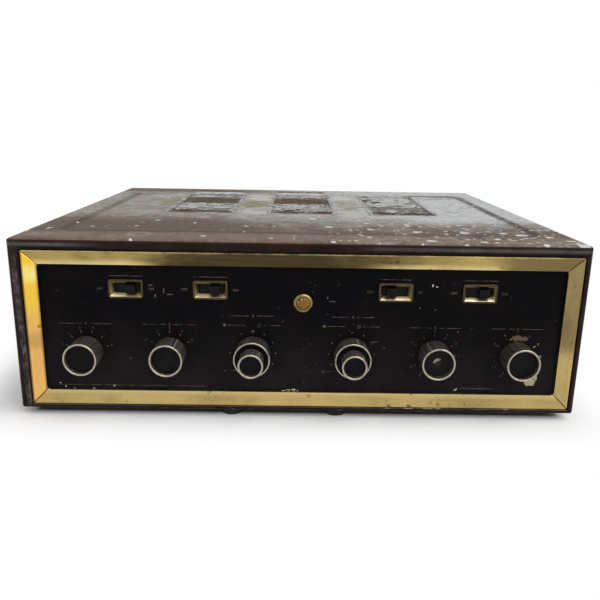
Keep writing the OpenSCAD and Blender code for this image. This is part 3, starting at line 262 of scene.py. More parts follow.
def finished(obj, body, finish, standsFor=()):
    obj.data.materials.clear()
    obj.data.materials.append(finish)
    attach(obj, body)
    if standsFor:
        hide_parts(*standsFor)
    return obj


def dress(finish, *names):  # CAD nodes that stay get a better finish
    for name in names:
        mesh = nodes[name].data
        mesh.materials.clear()
        mesh.materials.append(finish)


# building blocks of the finishes: a field is a value that varies over the surface, and sums on it add nodes
class Field:
    def __init__(self, socket):
        self.socket = socket

    def __add__(self, other):
        return maths("ADD", self, other)

    def __sub__(self, other):
        return maths("SUBTRACT", self, other)

    def __rsub__(self, other):
        return maths("SUBTRACT", other, self)

    def __mul__(self, other):
        return maths("MULTIPLY", self, other)

    def __truediv__(self, other):
        return maths("DIVIDE", self, other)

    def __pow__(self, other):
        return maths("POWER", self, other)

    def __or__(self, other):  # the greater
        return maths("MAXIMUM", self, other)

    def __and__(self, other):  # the lesser
        return maths("MINIMUM", self, other)

    def __abs__(self):
        return maths("ABSOLUTE", self)

    def scaled(self, times, plus):
        return maths("MULTIPLY_ADD", self, times, plus)

    def node(self, kind, settings=None, **sockets):
        return addNode(self.socket.id_data, kind, settings, **sockets)

    def step(self, low, high, toLow=0.0, toHigh=1.0):  # a smooth rise, or a fall if low is the greater
        node = self.node(
            "MapRange", {"interpolation_type": "SMOOTHSTEP"},
            Value=self, From_Min=low, From_Max=high, To_Min=toLow, To_Max=toHigh,
        )
        return Field(node.outputs["Result"])

    def near(self, place, far, close, toFar=0.0, toClose=1.0):
        return abs(self - place).step(far, close, toFar, toClose)

    def mix(self, under, over):  # one colour over another, by this share
        node = self.node("Mix", {"data_type": "RGBA"})
        for i, value in ((0, self), (6, under), (7, over)):
            setSocket(node.inputs[i], value)
        return Field(node.outputs[2])

    def cloud(self, scale, detail=4.0, roughness=0.55, distortion=0.0):
        node = self.node(
            "TexNoise", Vector=self, Scale=scale, Detail=detail, Roughness=roughness, Distortion=distortion
        )
        return Field(node.outputs[0])

    def cells(self, scale):
        return Field(self.node("TexVoronoi", Vector=self, Scale=scale).outputs["Distance"])

    def stretched(self, scale, turn=(0, 0, 0)):
        return Field(self.node("Mapping", Vector=self, Rotation=turn, Scale=scale).outputs["Vector"])

    def axes(self):
        return [Field(output) for output in self.node("SeparateXYZ", Vector=self).outputs]


def anyOf(fields):  # the greatest of some fields
    total = None
    for field in fields:
        total = total | field if total else field
    return total


def setSocket(socket, value):
    if isinstance(value, Field):
        socket.id_data.links.new(value.socket, socket)
    elif socket.type == "RGBA":
        socket.default_value = (*value, 1)
    else:
        socket.default_value = value


def setSockets(node, sockets):
    for key, value in sockets.items():
        setSocket(node.inputs[key.replace("_", " ")], value)


def addNode(tree, kind, settings=None, **sockets):
    node = tree.nodes.new("ShaderNode" + kind)
    for key, value in (settings or {}).items():
        setattr(node, key, value)
    setSockets(node, sockets)
    return node


def sumNode(kind, operation, values):
    tree = next(value for value in values if isinstance(value, Field)).socket.id_data
    node = addNode(tree, kind, {"operation": operation})
    for socket, value in zip(node.inputs, values):
        setSocket(socket, value)
    return node


def maths(operation, *values):
    return Field(sumNode("Math", operation, values).outputs[0])


def vectorMaths(operation, *values):
    node = sumNode("VectorMath", operation, values)
    return Field(node.outputs["Value" if operation in ("LENGTH", "DISTANCE") else "Vector"])


def newFinish(name, **sockets):
    finish = bpy.data.materials.new(name)
    finish.use_nodes = True
    coat(finish, **sockets)
    return finish


def coat(finish, **sockets):
    setSockets(finish.node_tree.nodes["Principled BSDF"], sockets)


def placeOn(finish):
    return Field(addNode(finish.node_tree, "TexCoord").outputs["Object"])


def facingOn(finish):
    return Field(addNode(finish.node_tree, "TexCoord").outputs["Normal"])


def relief(finish, *layers):  # bumps from (height, depth in metres, strength), coarse to fine
    sockets = {}
    for height, depth, strength in layers:
        bump = addNode(finish.node_tree, "Bump", Height=height, Distance=depth, Strength=strength, **sockets)
        sockets = {"Normal": Field(bump.outputs["Normal"])}
    coat(finish, **sockets)


def blotch(vector, centre, size, ragged, grain):  # 1 inside a ragged oval, 0 outside
    away = vectorMaths("SUBTRACT", vector, centre)
    reach = vectorMaths("LENGTH", vectorMaths("DIVIDE", away, size))
    wobble = vector.cloud(grain).scaled(ragged, -ragged / 2)
    return (reach + wobble).step(1.0, 0.82)


# the case: brown paint, chalked and stained on top
caseSettings = {
    "brown": (0.0115, 0.0048, 0.0036),
    "brownLight": (0.023, 0.0118, 0.0092),
    # roll and shine are painted highlights on the rolled front edge and the rim; gap is painted shade above
    # the rails
    "roll": (0.04, 0.0165, 0.0138),
    "shine": (0.112, 0.102, 0.104),
    "topBrown": (0.142, 0.101, 0.076),
    "topDark": (0.09, 0.061, 0.045),
    "strip": (0.182, 0.132, 0.1),
    "bloom": (0.425, 0.415, 0.39),
    "bloomRight": (0.53, 0.55, 0.552),
    "olive": (0.205, 0.185, 0.098),
    "oliveDark": (0.118, 0.103, 0.06),
    "dirt": (0.05, 0.036, 0.03),
    "gap": (0.0025, 0.0012, 0.0008),
    "seep": (0.068, 0.05, 0.031),
    "pale": (0.56, 0.56, 0.55),
    "fleck": (0.68, 0.67, 0.63),
    "bare": (0.22, 0.21, 0.2),
    "dust": (0.05, 0.042, 0.037),
    "grains": {
        "broad": (16, 5, 0.6), "patchy": (60, 6, 0.65, 0.4), "grainy": (260, 5, 0.7), "fine": (900, 4, 0.6),
    },
    # edges: each pair is where a mark begins and where it is full
    "ventZone": (126 * mm, 122 * mm),
    "ventMargin": (8 * mm, 6 * mm),
    "ventDrop": (4 * mm, 3 * mm),
    "scratches": ((0.35, 900), (-0.2, 1300)),
    "frontDeep": (3.4 * mm, 0.8 * mm),
    "leftShineRise": (30 * mm, 115 * mm),
    "leftShineIn": (6 * mm, 4.3 * mm),
    "leftShineWide": (2.5 * mm, 1.2 * mm),
    "leftShineEnd": (120 * mm, 100 * mm),
    "topShineDrop": 4.4 * mm,
    "topShineWide": (1.9 * mm, 0.5 * mm),
    "topShineRight": (30 * mm, 80 * mm),
    "topShineLeft": (-130 * mm, -160 * mm),
    "gapAbove": (2.6 * mm, 0.6 * mm),
    "gapBelow": (4 * mm, 3 * mm),
    "gapEnd": 2 * mm,
    "cornerWear": (2.2 * mm, 0.4 * mm),
    "footWear": (2.4 * mm, 0.6 * mm),
    "rearWear": (2.2 * mm, 0.5 * mm),
    "shoulderWear": (3.4 * mm, 1.6 * mm),
    # the top, from the middle of the case
    "darkLeft": (20 * mm, -70 * mm),
    "darkFront": (-40 * mm, -80 * mm),
    "stripFront": (-126 * mm, -137 * mm),
    "bloomBack": (-95 * mm, -10 * mm),
    "chalkRight": (-20 * mm, 130 * mm),
    "drifts": (
        ((-90, 10), (-140, -80), 0.26), ((85, 135), (-75, -20), 0.34),
        ((120, 150), (75, 100), -0.22), ((-20, 100), (145, 160), 0.3),
        ((-75, -60), (-35, -10), 0.12), ((-60, 60), (-130, -139), 0.1),
        ((-168, -178), (0, -40), 0.08), ((-200, -190), (-130, -139), 0.05),
    ),
    "driftGrains": (("broad", 0.5), ("patchy", 0.75), ("grainy", 0.55)),
    "stains": (
        ((-44, 54), (17, 32), "olive", 1.0), ((48, 60), (13, 44), "olive", 0.75),
        ((-128, 52), (11, 26), "olive", 0.8), ((-42, 108), (14, 28), "pale", 0.65),
        ((46, 112), (12, 26), "pale", 0.5), ((-142, 116), (20, 22), "pale", 0.5),
        ((-40, -4), (15, 16), "pale", 0.5), ((106, -104), (22, 10), "topDark", 0.8),
        ((-100, -62), (34, 16), "topDark", 0.5), ((150, 131), (24, 4), "dirt", 0.75),
        ((116, 122), (15, 4), "dirt", 0.6), ((139, 116), (20, 4), "topDark", 0.6),
        ((72, 110), (6, 26), "seep", 0.75), ((-168, 128), (20, 14), "topDark", 0.5),
        ((170, 126), (14, 16), "topDark", 0.4),
    ),
    "scuffs": (
        ((128, -128), (3.5, 19)), ((133, -118), (2, 12)), ((112, -141), (2, 9)), ((141, -139), (5, 4)),
    ),
    "strayBack": 16 * mm,
    "oliveBack": (140 * mm, 152 * mm),
    "oliveLeft": (30 * mm, -90 * mm),
    "deposits": ((133 * mm, 153 * mm, "pale"), (151 * mm, 168 * mm, "seep")),
    "depositStart": (-2 * mm, 1 * mm),
    "depositEnd": 3 * mm,
    "depositSide": (5 * mm, -1 * mm),
    "depositStray": 14 * mm,
    "recessSide": 23 * mm,
    "recessFront": 36 * mm,
    "recessRear": 40 * mm,
    "recessRound": 8 * mm,
    "recessSlope": 3 * mm,
    "dirtStray": 5 * mm,
    "dirtSide": (26 * mm, 2 * mm),
    "dirtWide": 3.6 * mm,
    "dirtWiden": 1.4 * mm,
    "dirtLeft": (-150 * mm, -50 * mm),
    "lostBack": (132 * mm, 138 * mm),
    "lostLeft": (130 * mm, 100 * mm),
    "creaseWide": (3 * mm, 0.9 * mm),
    "creaseEnd": 8 * mm,
    "ringStain": (-114 * mm, -138 * mm),
    "ringRadius": 7.5 * mm,
    "ringWide": (3 * mm, 0.8 * mm),
    "fleckRight": (-30 * mm, 120 * mm),
    "fleckFront": (-30 * mm, -100 * mm),
    "fleckStray": (-20 * mm, -70 * mm),
    "fleckScales": (95, 190),
}
ventLow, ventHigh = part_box("vent_screens")
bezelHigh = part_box("bezel_rails")[1]
halfWide = (caseHigh.x - caseLow.x) / 2


def less(level, pair):  # a pair of distances, measured back from a level
    return [level - distance for distance in pair]


def more(level, pair):
    return [level + distance for distance in pair]


def inMm(values):
    return [value * mm for value in values]


def topBlotch(place, spot, size, ragged, grain):  # on the top of the case, in millimetres
    return blotch(place, (*inMm(spot), caseHigh.z), (*inMm(size), 1), ragged, grain)


def recessEdge(place, s):  # distance in plan from the edge of the pressed recess
    halfX = halfWide - s["recessSide"] - s["recessRound"]
    frontY = caseLow.y + s["recessFront"]
    rearY = caseHigh.y - s["recessRear"]
    halfY = (rearY - frontY) / 2 - s["recessRound"]
    centre = ((caseLow.x + caseHigh.x) / 2, (frontY + rearY) / 2, 0)
    flat = vectorMaths("MULTIPLY", vectorMaths("SUBTRACT", place, centre), (1, 1, 0))
    beyond = vectorMaths("SUBTRACT", vectorMaths("ABSOLUTE", flat), (halfX, halfY, 0))
    outside = vectorMaths("LENGTH", vectorMaths("MAXIMUM", beyond, (0, 0, 0)))
    x, y = beyond.axes()[:2]
    return outside + ((x | y) & 0.0) - s["recessRound"]


def fleckMask(place, scale, often):  # ragged flecks of mixed sizes, where often says
    bent = Field(place.node("TexNoise", Vector=place, Scale=scale * 2.2, Detail=3.0).outputs["Color"])
    bent = vectorMaths("SUBTRACT", bent, (0.5, 0.5, 0.5))
    bent = vectorMaths("MULTIPLY", bent, (0.55 / scale,) * 3)
    spots = place.node("TexVoronoi", Vector=vectorMaths("ADD", place, bent), Scale=scale)
    chance, size = Field(spots.outputs["Color"]).axes()[:2]
    reach = (size ** 2.5).scaled(0.34, 0.1)
    inside = (Field(spots.outputs["Distance"]) - reach).step(0.03, -0.05)
    return inside * (chance - often).step(0.01, -0.01)


def rimShine(place, grainy, s):  # a painted highlight on the rim, partly rubbed wear: a streak at its left and a line near both ends of its top
    x, y, z = place.axes()
    streak = place.stretched((45, 400, 45)).cloud(1.0, 6, 0.72)
    line = z.step(*s["leftShineRise"], *more(caseLow.x, s["leftShineIn"]))
    left = abs(x - line).step(*s["leftShineWide"]) * streak.step(0.3, 0.55, 0.25, 1)
    left = left * grainy.step(0.4, 0.6, 0.15, 1) * z.step(*s["leftShineEnd"], 0.3, 1)
    top = z.near(caseHigh.z - s["topShineDrop"], *s["topShineWide"]) * streak.step(0.3, 0.7, 0.4, 1)
    return left | top * (x.step(*s["topShineRight"]) | x.step(*s["topShineLeft"], 0, 0.9))


def casePaintSides(place, facing, grain, s):  # sides and front rim, chipped along the outer edges
    x, y, z = place.axes()
    faceX, faceY, faceZ = facing.axes()
    broad, patchy, grainy = grain["broad"], grain["patchy"], grain["grainy"]
    colour = patchy.step(0.35, 0.75).mix(s["brown"], s["brownLight"])
    rubbed = place.stretched((30, 30, 420)).cloud(1.0, 6, 0.7)
    colour = rubbed.step(0.64, 0.74, 0, 0.25).mix(colour, s["bare"])
    flank = abs(faceX).step(0.5, 0.9)
    dusty = patchy.step(0.42, 0.75) * broad.step(0.35, 0.7, 0.1, 0.5)
    colour = (flank * dusty).mix(colour, s["dust"])
    scratch = anyOf(
        place.stretched((1, 9, width), (lean, 0, 0)).cloud(1.0, 3, 0.5) for lean, width in s["scratches"]
    )
    scratch = scratch.step(0.68, 0.73) * broad.step(0.42, 0.6)
    colour = (flank * scratch * 0.6).mix(colour, s["bare"])
    front = y.step(*more(caseLow.y, s["frontDeep"]))
    colour = (front * rimShine(place, grainy, s) * 0.9).mix(colour, s["shine"])
    # painted shade in the gap above the rails
    gap = z.step(*more(bezelHigh.z, s["gapAbove"])) * z.step(*less(bezelHigh.z, s["gapBelow"]), 0, 0.85)
    halfGap = bezelHigh.x - frontX
    gap = gap * front * x.near(frontX, halfGap, halfGap - s["gapEnd"])
    colour = gap.mix(colour, s["gap"])
    # painted highlight: the rolled front edge is lighter on its faces turned up
    roll = front * faceZ.step(0.22, 0.4) * patchy.step(0.2, 0.6, 0.55, 1)
    colour = roll.mix(colour, s["roll"])
    worn = front * abs(x).step(*less(halfWide, s["cornerWear"]))
    worn = worn | z.step(*more(caseLow.z, s["footWear"])) | y.step(*less(caseHigh.y, s["rearWear"]))
    worn = worn | flank * z.step(*less(caseHigh.z, s["shoulderWear"])) * broad.step(0.4, 0.6)
    return (worn * grainy.step(0.58, 0.66) * 0.85).mix(colour, s["bare"])


def chalkedTop(place, grain, s):  # faded brown, then a chalky bloom towards the back and the right
    x, y = place.axes()[:2]
    patchy, grainy = grain["patchy"], grain["grainy"]
    darker = x.step(*s["darkLeft"]) * y.step(*s["darkFront"], 0, 0.8)
    colour = (patchy.step(0.3, 0.7) * (1.0 - darker)).mix(s["topDark"], s["topBrown"])
    strip = y.step(*s["stripFront"]) * patchy.step(0.3, 0.6, 0.35, 0.9)
    colour = strip.mix(colour, s["strip"])
    colour = grainy.step(0.5, 0.75, 0, 0.25).mix(colour, s["bloom"])
    drift = y.step(*s["bloomBack"], 0.04, 0.56)
    for spanX, spanY, share in s["drifts"]:
        drift = (x.step(*inMm(spanX)) * y.step(*inMm(spanY))).scaled(share, drift)
    for name, share in s["driftGrains"]:
        drift = drift + grain[name].scaled(share, -share / 2)
    bloom = drift.step(0.06, 0.94, 0, 0.96)
    colour = bloom.mix(colour, x.step(*s["chalkRight"]).mix(s["bloom"], s["bloomRight"]))
    thin = place.cloud(130, 8, 0.75, 0.6).step(0.47, 0.68) * bloom.step(0.3, 0.8, 0, 0.68)
    colour = thin.mix(colour, s["topBrown"])
    speckle = place.cloud(420, 6, 0.75).step(0.54, 0.68, 0, 0.5)
    return speckle.mix(colour, s["topDark"]), drift, bloom


def stainedTop(colour, place, grain, s):  # beside and behind the vents, and along the back
    x, y = place.axes()[:2]
    patchy = grain["patchy"]
    for spot, size, shade, share in s["stains"]:
        stain = topBlotch(place, spot, size, 2.6, 70) * patchy.step(0.3, 0.62, 0.15 * share, share)
        colour = stain.mix(colour, s[shade])
    strayed = y + patchy.scaled(s["strayBack"], -s["strayBack"] / 2)
    olive = strayed.step(*s["oliveBack"]) * x.step(*s["oliveLeft"]) * patchy.step(0.2, 0.6, 0.6, 1)
    colour = olive.mix(colour, s["oliveDark"])
    inVent = []
    for low, high in solidBoxes("vent_screens")[:2]:
        off = patchy.scaled(s["depositStray"], abs(x - (low.x + high.x) / 2))
        inVent.append(off.step(*more((high.x - low.x) / 2, s["depositSide"])))
    inVent = anyOf(inVent)
    for start, end, shade in s["deposits"]:
        patch = strayed.step(*more(start, s["depositStart"])) * strayed.step(end, end - s["depositEnd"])
        patch = patch * inVent * grain["grainy"].step(0.4, 0.54, 0.25, 0.95)
        colour = patch.mix(colour, s[shade])
    return colour


def soiledTop(colour, place, grain, s):  # dirt round the recess, scuffs and the ring of a wet glass
    x, y = place.axes()[:2]
    aside = abs(x)
    patchy = grain["patchy"]
    recessEnd = halfWide - s["recessSide"]
    edge = recessEdge(place, s) + s["recessSlope"] / 2
    edge = edge + patchy.scaled(s["dirtStray"], -s["dirtStray"] / 2)
    beside = aside.step(*less(recessEnd, s["dirtSide"]))
    dirt = (abs(edge) / beside.scaled(s["dirtWiden"], s["dirtWide"])).step(1.0, 0.3)
    dirt = dirt * patchy.step(0.25, 0.55, 0.4, 1.0) * beside.scaled(0.05, 0.75)
    dirt = dirt * x.step(*s["dirtLeft"], 0.65, 1)
    dirt = dirt * (y.step(*s["lostBack"]) * x.step(*s["lostLeft"])).scaled(-0.8, 1.0)
    colour = dirt.mix(colour, s["dirt"])
    crease = y.near(caseLow.y + s["recessFront"], *s["creaseWide"])
    crease = crease * aside.step(recessEnd, recessEnd - s["creaseEnd"])
    colour = (crease * grain["grainy"].step(0.3, 0.55, 0.6, 0.95)).mix(colour, s["brownLight"])
    for spot, size in s["scuffs"]:
        colour = (topBlotch(place, spot, size, 1.8, 240) * 0.65).mix(colour, s["dirt"])
    ring = vectorMaths("DISTANCE", vectorMaths("MULTIPLY", place, (1, 1, 0)), (*s["ringStain"], 0))
    ring = ring.near(s["ringRadius"], *s["ringWide"], 0, 0.32) * patchy.step(0.3, 0.6, 0.3, 1)
    return ring.mix(colour, s["bloom"])


def casePaint(s):
    finish = newFinish("agedBrownPaint", Specular_IOR_Level=0.08)
    place, facing = placeOn(finish), facingOn(finish)
    grain = {name: place.cloud(*values) for name, values in s["grains"].items()}
    x, y, z = place.axes()
    top, drift, bloom = chalkedTop(place, grain, s)
    top = soiledTop(stainedTop(top, place, grain, s), place, grain, s)
    # pale flecks of lost paint, densest at the front right
    often = x.step(*s["fleckRight"]) * y.step(*s["fleckFront"])
    often = often.scaled(0.66, y.step(*s["fleckStray"]) * 0.08)
    fleck = anyOf(fleckMask(place, scale, often) for scale in s["fleckScales"])
    top = (fleck * 0.88).mix(top, s["fleck"])
    # the top counts as up, and so do the cut edges of the vents in it
    vented = z.step(*less(caseHigh.z, s["ventDrop"])) * abs(x).step(*s["ventZone"])
    vented = vented * y.step(*less(ventLow.y, s["ventMargin"])) * y.step(*more(ventHigh.y, s["ventMargin"]))
    up = facing.axes()[2].step(0.5, 0.66) | vented
    fine = grain["fine"]
    rough = (up * drift.step(-0.1, 0.5, 0.7, 1)).scaled(0.36, fine.scaled(0.2, 0.26))
    coat(finish, Base_Color=up.mix(casePaintSides(place, facing, grain, s), top), Roughness=rough)
    chalky = up * (fleck + bloom)
    relief(finish, (chalky, 0.12 * mm, 0.5), (grain["patchy"], 0.3 * mm, 0.25), (fine, 0.1 * mm, 0.35))
    return finish


dress(casePaint(caseSettings), "case_wrap")
print("case painted")


# the vent screens: rusty brown under a pale crust
screenSettings = {
    "brown": (0.076, 0.048, 0.03),
    "rust": (0.128, 0.08, 0.046),
    "dark": (0.035, 0.025, 0.018),
    "crust": (0.6, 0.605, 0.595),
    "shade": (0.19, 0.19, 0.185),
    "palerRight": (60 * mm, 90 * mm),
    "lessRight": (60 * mm, 68 * mm),
    "lastVentLeft": (76 * mm, 90 * mm),
    # shares of a vent's length
    "crustFrom": (0.15, 0.25),
    "crustTo": (0.58, 0.44),
    "rearFrom": (0.78, 0.94),
    "lastVentFrom": (0.42, 0.5),
}


def crustColours(place, s):  # the crust's colour, and the grain that it follows
    grain = place.stretched((1, 1.6, 1)).cloud(230, 6, 0.7)
    paler = grain + place.axes()[0].step(*s["palerRight"], 0, 0.03)
    return paler.step(0.4, 0.64).mix(s["shade"], s["crust"]), grain


def screenPaint(s):
    finish = newFinish("rustedScreen", Specular_IOR_Level=0.2)
    place = placeOn(finish)
    x, y = place.axes()[:2]
    blotchy = place.cloud(70, 6, 0.65, 0.5)
    streak = place.stretched((18, 190, 1)).cloud(1.0, 5, 0.65)
    fine = place.cloud(600, 5, 0.6)
    colour = blotchy.step(0.35, 0.65).mix(s["brown"], s["rust"])
    colour = streak.step(0.48, 0.7, 0, 0.7).mix(colour, s["dark"])
    along = (y - ventLow.y) / (ventHigh.y - ventLow.y) + blotchy.scaled(0.4, -0.2)
    front = along.step(*s["crustFrom"]) * along.step(*s["crustTo"]) * x.step(*s["lessRight"], 1, 0.4)
    lastVent = x.step(*s["lastVentLeft"]) * along.step(*s["lastVentFrom"], 0, 0.8)
    tint, grain = crustColours(place, s)
    covered = front | along.step(*s["rearFrom"], 0, 0.9) | lastVent
    covered = covered * grain.step(0.34, 0.48)
    coat(finish, Base_Color=covered.mix(colour, tint), Roughness=fine.step(0.3, 0.7, 0.62, 0.92))
    relief(finish, (covered * grain, 0.5 * mm, 0.6), (fine, 0.2 * mm, 0.5))
    return finish


dress(screenPaint(screenSettings), "vent_screens")

# crust: ragged sheets of pale deposit that lie on the screens
crustSettings = {
    "cell": 1.2 * mm,
    "thickness": 0.2 * mm,
    "swell": 0.4 * mm,
    "lift": 0.1 * mm,
    "margin": 5 * mm,
    "bands": ((0.16, 0.53, 0.42), (0.82, 0.99, 0.36)),
    "lastVentBands": ((0.1, 0.36, 0.66), (0.39, 0.98, 0.34)),
    "grain": 85,
    "swellGrain": 90,
    "fullInside": 0.3,
    "fullBand": 0.35,
    "lipOut": 3.5 * mm,
    "lipIn": 0.9 * mm,
    "lipCover": 0.54,
    "screenLap": 4 * mm,
    "floorDrop": 0.95 * mm,
}


def crustFinish(s):
    finish = newFinish("paleCrust", Specular_IOR_Level=0.2)
    place = placeOn(finish)
    tint, grain = crustColours(place, s)
    colour = place.cloud(45, 5, 0.6).step(0.55, 0.75, 0, 0.7).mix(tint, s["rust"])
    coat(finish, Base_Color=colour, Roughness=grain.step(0.3, 0.7, 0.7, 0.95))
    relief(finish, (grain, 0.4 * mm, 0.7), (place.cloud(900, 4), 0.1 * mm, 0.5))
    return finish


def addCrust(name, low, high, cover, s, band=None):  # with a band, only that much along the sheet's border
    size = high - low
    deselectAll()
    bpy.ops.mesh.primitive_grid_add(
        x_subdivisions=round(size.x / s["cell"]), y_subdivisions=round(size.y / s["cell"]), size=1,
        location=(low + high) / 2,
    )
    obj = named(name)
    obj.scale = (size.x, size.y, 1)
    settle(obj)
    for vertex in obj.data.vertices:
        vertex.co.z += s["swell"] * max(0, noise.fractal(vertex.co * s["swellGrain"], 0.9, 2, 4) + 0.25)

    def bare(face):  # ragged gaps, wider towards the sheet's border
        x, y = face.center.x, face.center.y
        gaps = (x - low.x, high.x - x, y - low.y, high.y - y)
        height = noise.fractal(face.center * s["grain"], 0.8, 2, 5) / 2 + 0.5
        if band:
            inset = min(gaps)
            full = s["fullBand"] - s["fullBand"] * abs(2 * inset / band - 1) ** 2
            return height + full < cover + 0.2 or inset > band
        border = min(gap / size[i // 2] for i, gap in enumerate(gaps))
        return height + s["fullInside"] * min(1, 4 * border) < cover + 0.22

    pickFaces(obj, bare)
    bpy.ops.mesh.delete(type="FACE")
    bpy.ops.object.mode_set(mode="OBJECT")
    applied(obj, "SOLIDIFY", thickness=s["thickness"], offset=1)
    return smoothed(obj, 50)


def buildCrust(s):
    sheets = []
    for i, (low, high) in enumerate(solidBoxes("vent_screens")):
        for start, end, cover in s["lastVentBands"] if i == 2 else s["bands"]:
            span = high.y - low.y
            corner = Vector((low.x + s["margin"], low.y + start * span + s["margin"], high.z + s["lift"]))
            far = Vector((high.x - s["margin"], low.y + end * span, high.z + s["lift"]))
            sheets.append(addCrust("crust", corner, far, cover, s))
        # a ragged lip around the opening, on the floor of the recess
        floor = caseHigh.z - s["floorDrop"]
        middle, half = (low + high) / 2, (high - low) / 2
        half -= Vector((s["screenLap"], s["screenLap"], 0))
        out = Vector((s["lipOut"], s["lipOut"], 0))
        corner, far = middle - half - out, middle + half + out
        corner.z = far.z = floor
        sheets.append(addCrust("lip", corner, far, s["lipCover"], s, s["lipOut"] + s["lipIn"]))
    finished(joined("ventCrust", sheets), "cabinet", crustFinish(screenSettings))


buildCrust(crustSettings)
print("vent screens rusted and crusted")


# the front frame: four brass-toned rails, each tarnished in its own way and each with its own painted light:
# the left rail lit brightest, the right and top ones painted duller
railSettings = {
    "top": {"bright": (0.5, 0.37, 0.125), "dull": (0.19, 0.138, 0.056), "tarnish": 0.4, "spots": 0.7},
    "bottom": {"bright": (0.54, 0.4, 0.152), "dull": (0.3, 0.22, 0.085), "tarnish": 0.38, "spots": 0.8},
    "left": {"bright": (0.88, 0.51, 0.145), "dull": (0.52, 0.3, 0.095), "tarnish": 0.3, "spots": 0.55},
    "right": {"bright": (0.36, 0.265, 0.115), "dull": (0.19, 0.138, 0.06), "tarnish": 0.45, "spots": 0.75},
}
railShape = {
    "sideFrom": 100 * mm,
    "edge": 0.75 * mm,
    "edgeSteps": 4,
    # dark is a painted dark reflection on the top rail; lip, flame and the glint colour are painted
    # highlights
    "dark": (0.029, 0.021, 0.0115),
    "lip": (0.88, 0.7, 0.34),
    "spot": (0.11, 0.052, 0.018),
    "flame": (0.98, 0.62, 0.062),
    "hotGlint": (1.0, 0.92, 0.3),
    "edgeDark": (0.13, 0.062, 0.018),
    # along the top rail
    "stray": 160 * mm,
    "darkFrom": (-150 * mm, -70 * mm),
    "darkTo": (110 * mm, 20 * mm),
    "dullFrom": (125 * mm, 150 * mm),
    "lipRight": (40 * mm, 75 * mm),
    "lipLeft": (-90 * mm, -125 * mm),
    "lipEnd": (145 * mm, 130 * mm),
    # up the side rails, and across the left one
    "flameFrom": (62 * mm, 88 * mm),
    "hotAt": 104 * mm,
    "dullAt": 56 * mm,
    "glowWide": (9 * mm, 2 * mm),
    "outerDark": (1.9 * mm, 0.9 * mm),
    "innerDark": (2.4 * mm, 1 * mm),
    "cleanFrom": (60 * mm, 44 * mm),
}


def railMarks(name, colour, place, cloud, low, high, s, shape):
    x, y, z = place.axes()
    across = (z - low.z) / (high.z - low.z)
    if name == "top":  # a painted dark reflection in the middle, with painted highlights on the bead above and on the lip below
        spread = cloud.scaled(shape["stray"], x - shape["stray"] / 2)
        dark = spread.step(*shape["darkFrom"]) * spread.step(*shape["darkTo"])
        colour = (dark * 0.93).mix(colour, shape["dark"])
        colour = x.step(*shape["dullFrom"], 0, 0.9).mix(colour, s["dull"])
        broken = place.stretched((1, 0.1, 0.1)).cloud(55, 5, 0.65)
        beadHighlight = across.step(0.86, 0.94, 0, 0.4) * broken.step(0.4, 0.62)
        lip = (x.step(*shape["lipRight"]) | x.step(*shape["lipLeft"])) * x.step(*shape["lipEnd"])
        lip = lip * across.step(0.5, 0.12) * broken.step(0.35, 0.5, 0.45, 0.8)
        return ((beadHighlight | lip) * 0.85).mix(colour, shape["lip"])
    if name == "bottom":  # the upper half catches more light
        return (across.step(0.55, 0.95, 0, 0.4) * cloud.step(0.3, 0.6)).mix(colour, shape["lip"])
    if name == "right":  # lighter towards its foot
        lighterFoot = z.step(*shape["cleanFrom"]) * cloud.step(0.3, 0.6, 0.6, 1)
        return lighterFoot.mix(colour, railSettings["bottom"]["bright"])
    # the left one has a painted highlight, brightest towards its top with a glint there, and is dark along
    # both edges
    colour = z.step(*shape["flameFrom"]).mix(colour, shape["flame"])
    for share, at, shade in ((1.0, shape["hotAt"], shape["hotGlint"]), (0.85, shape["dullAt"], s["dull"])):
        glow = z.near(at, *shape["glowWide"], 0, share) * cloud.step(0.3, 0.55, 0.5, 1)
        colour = glow.mix(colour, shade)
    outer = x.step(*more(low.x, shape["outerDark"]), 0, 0.75)
    inner = x.step(*less(high.x, shape["innerDark"]), 0, 0.65)
    return (outer | inner).mix(colour, shape["edgeDark"])


def railBrass(name, low, high, s, shape):
    finish = newFinish(name + "RailBrass", Metallic=1.0)
    place = placeOn(finish)
    upright = name in ("left", "right")
    grain = place.stretched((900, 900, 14) if upright else (14, 900, 900)).cloud(1.0, 5, 0.7)
    cloud = place.stretched((1, 1, 0.5) if upright else (0.5, 1, 1)).cloud(34, 6, 0.62, 0.3)
    fine = place.cloud(300, 5, 0.6)
    wear = cloud.scaled(1.3, s["tarnish"] - 0.65)
    colour = wear.step(0.15, 0.85).mix(s["bright"], s["dull"])
    colour = railMarks(name, colour, place, cloud, low, high, s, shape)
    colour = grain.step(0.35, 0.8, 0, 0.3).mix(colour, s["dull"])
    spots = (place.cells(95) + fine.scaled(0.5, -0.25)).step(0.22, 0.08) * place.cloud(40).step(0.47, 0.6)
    specks = place.cells(330).step(0.22, 0.1) * cloud.step(0.5, 0.62)
    spots = (spots | specks) * s["spots"]
    rough = wear.step(0.1, 0.9).scaled(0.16, 0.24) + spots * 0.25
    coat(finish, Base_Color=spots.mix(colour, shape["spot"]), Roughness=fine.scaled(0.12, rough))
    relief(finish, (cloud, 0.5 * mm, 0.2), (grain, 0.06 * mm, 0.35), (spots, 0.05 * mm, 0.4))
    return finish


def buildRails(shape):
    hold(copyNode("frontRail", "bezel_rails"))
    bpy.ops.mesh.separate(type="LOOSE")
    for rail in list(bpy.context.selected_objects):
        corners = [Vector(corner) for corner in rail.bound_box]
        off = sum(corners, Vector()) / 8 - Vector((frontX, 0, frontZ))
        if abs(off.x) > shape["sideFrom"]:
            side = "left" if off.x < 0 else "right"
        else:
            side = "bottom" if off.z < 0 else "top"
        evened(bevelled(rail, shape["edge"], shape["edgeSteps"]))
        rail.name = side + "Rail"
        brass = railBrass(side, corners[0], corners[6], railSettings[side], shape)
        finished(rail, "cabinet", brass)
    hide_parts("bezel_rails")


buildRails(railShape)
print("front rails finished")


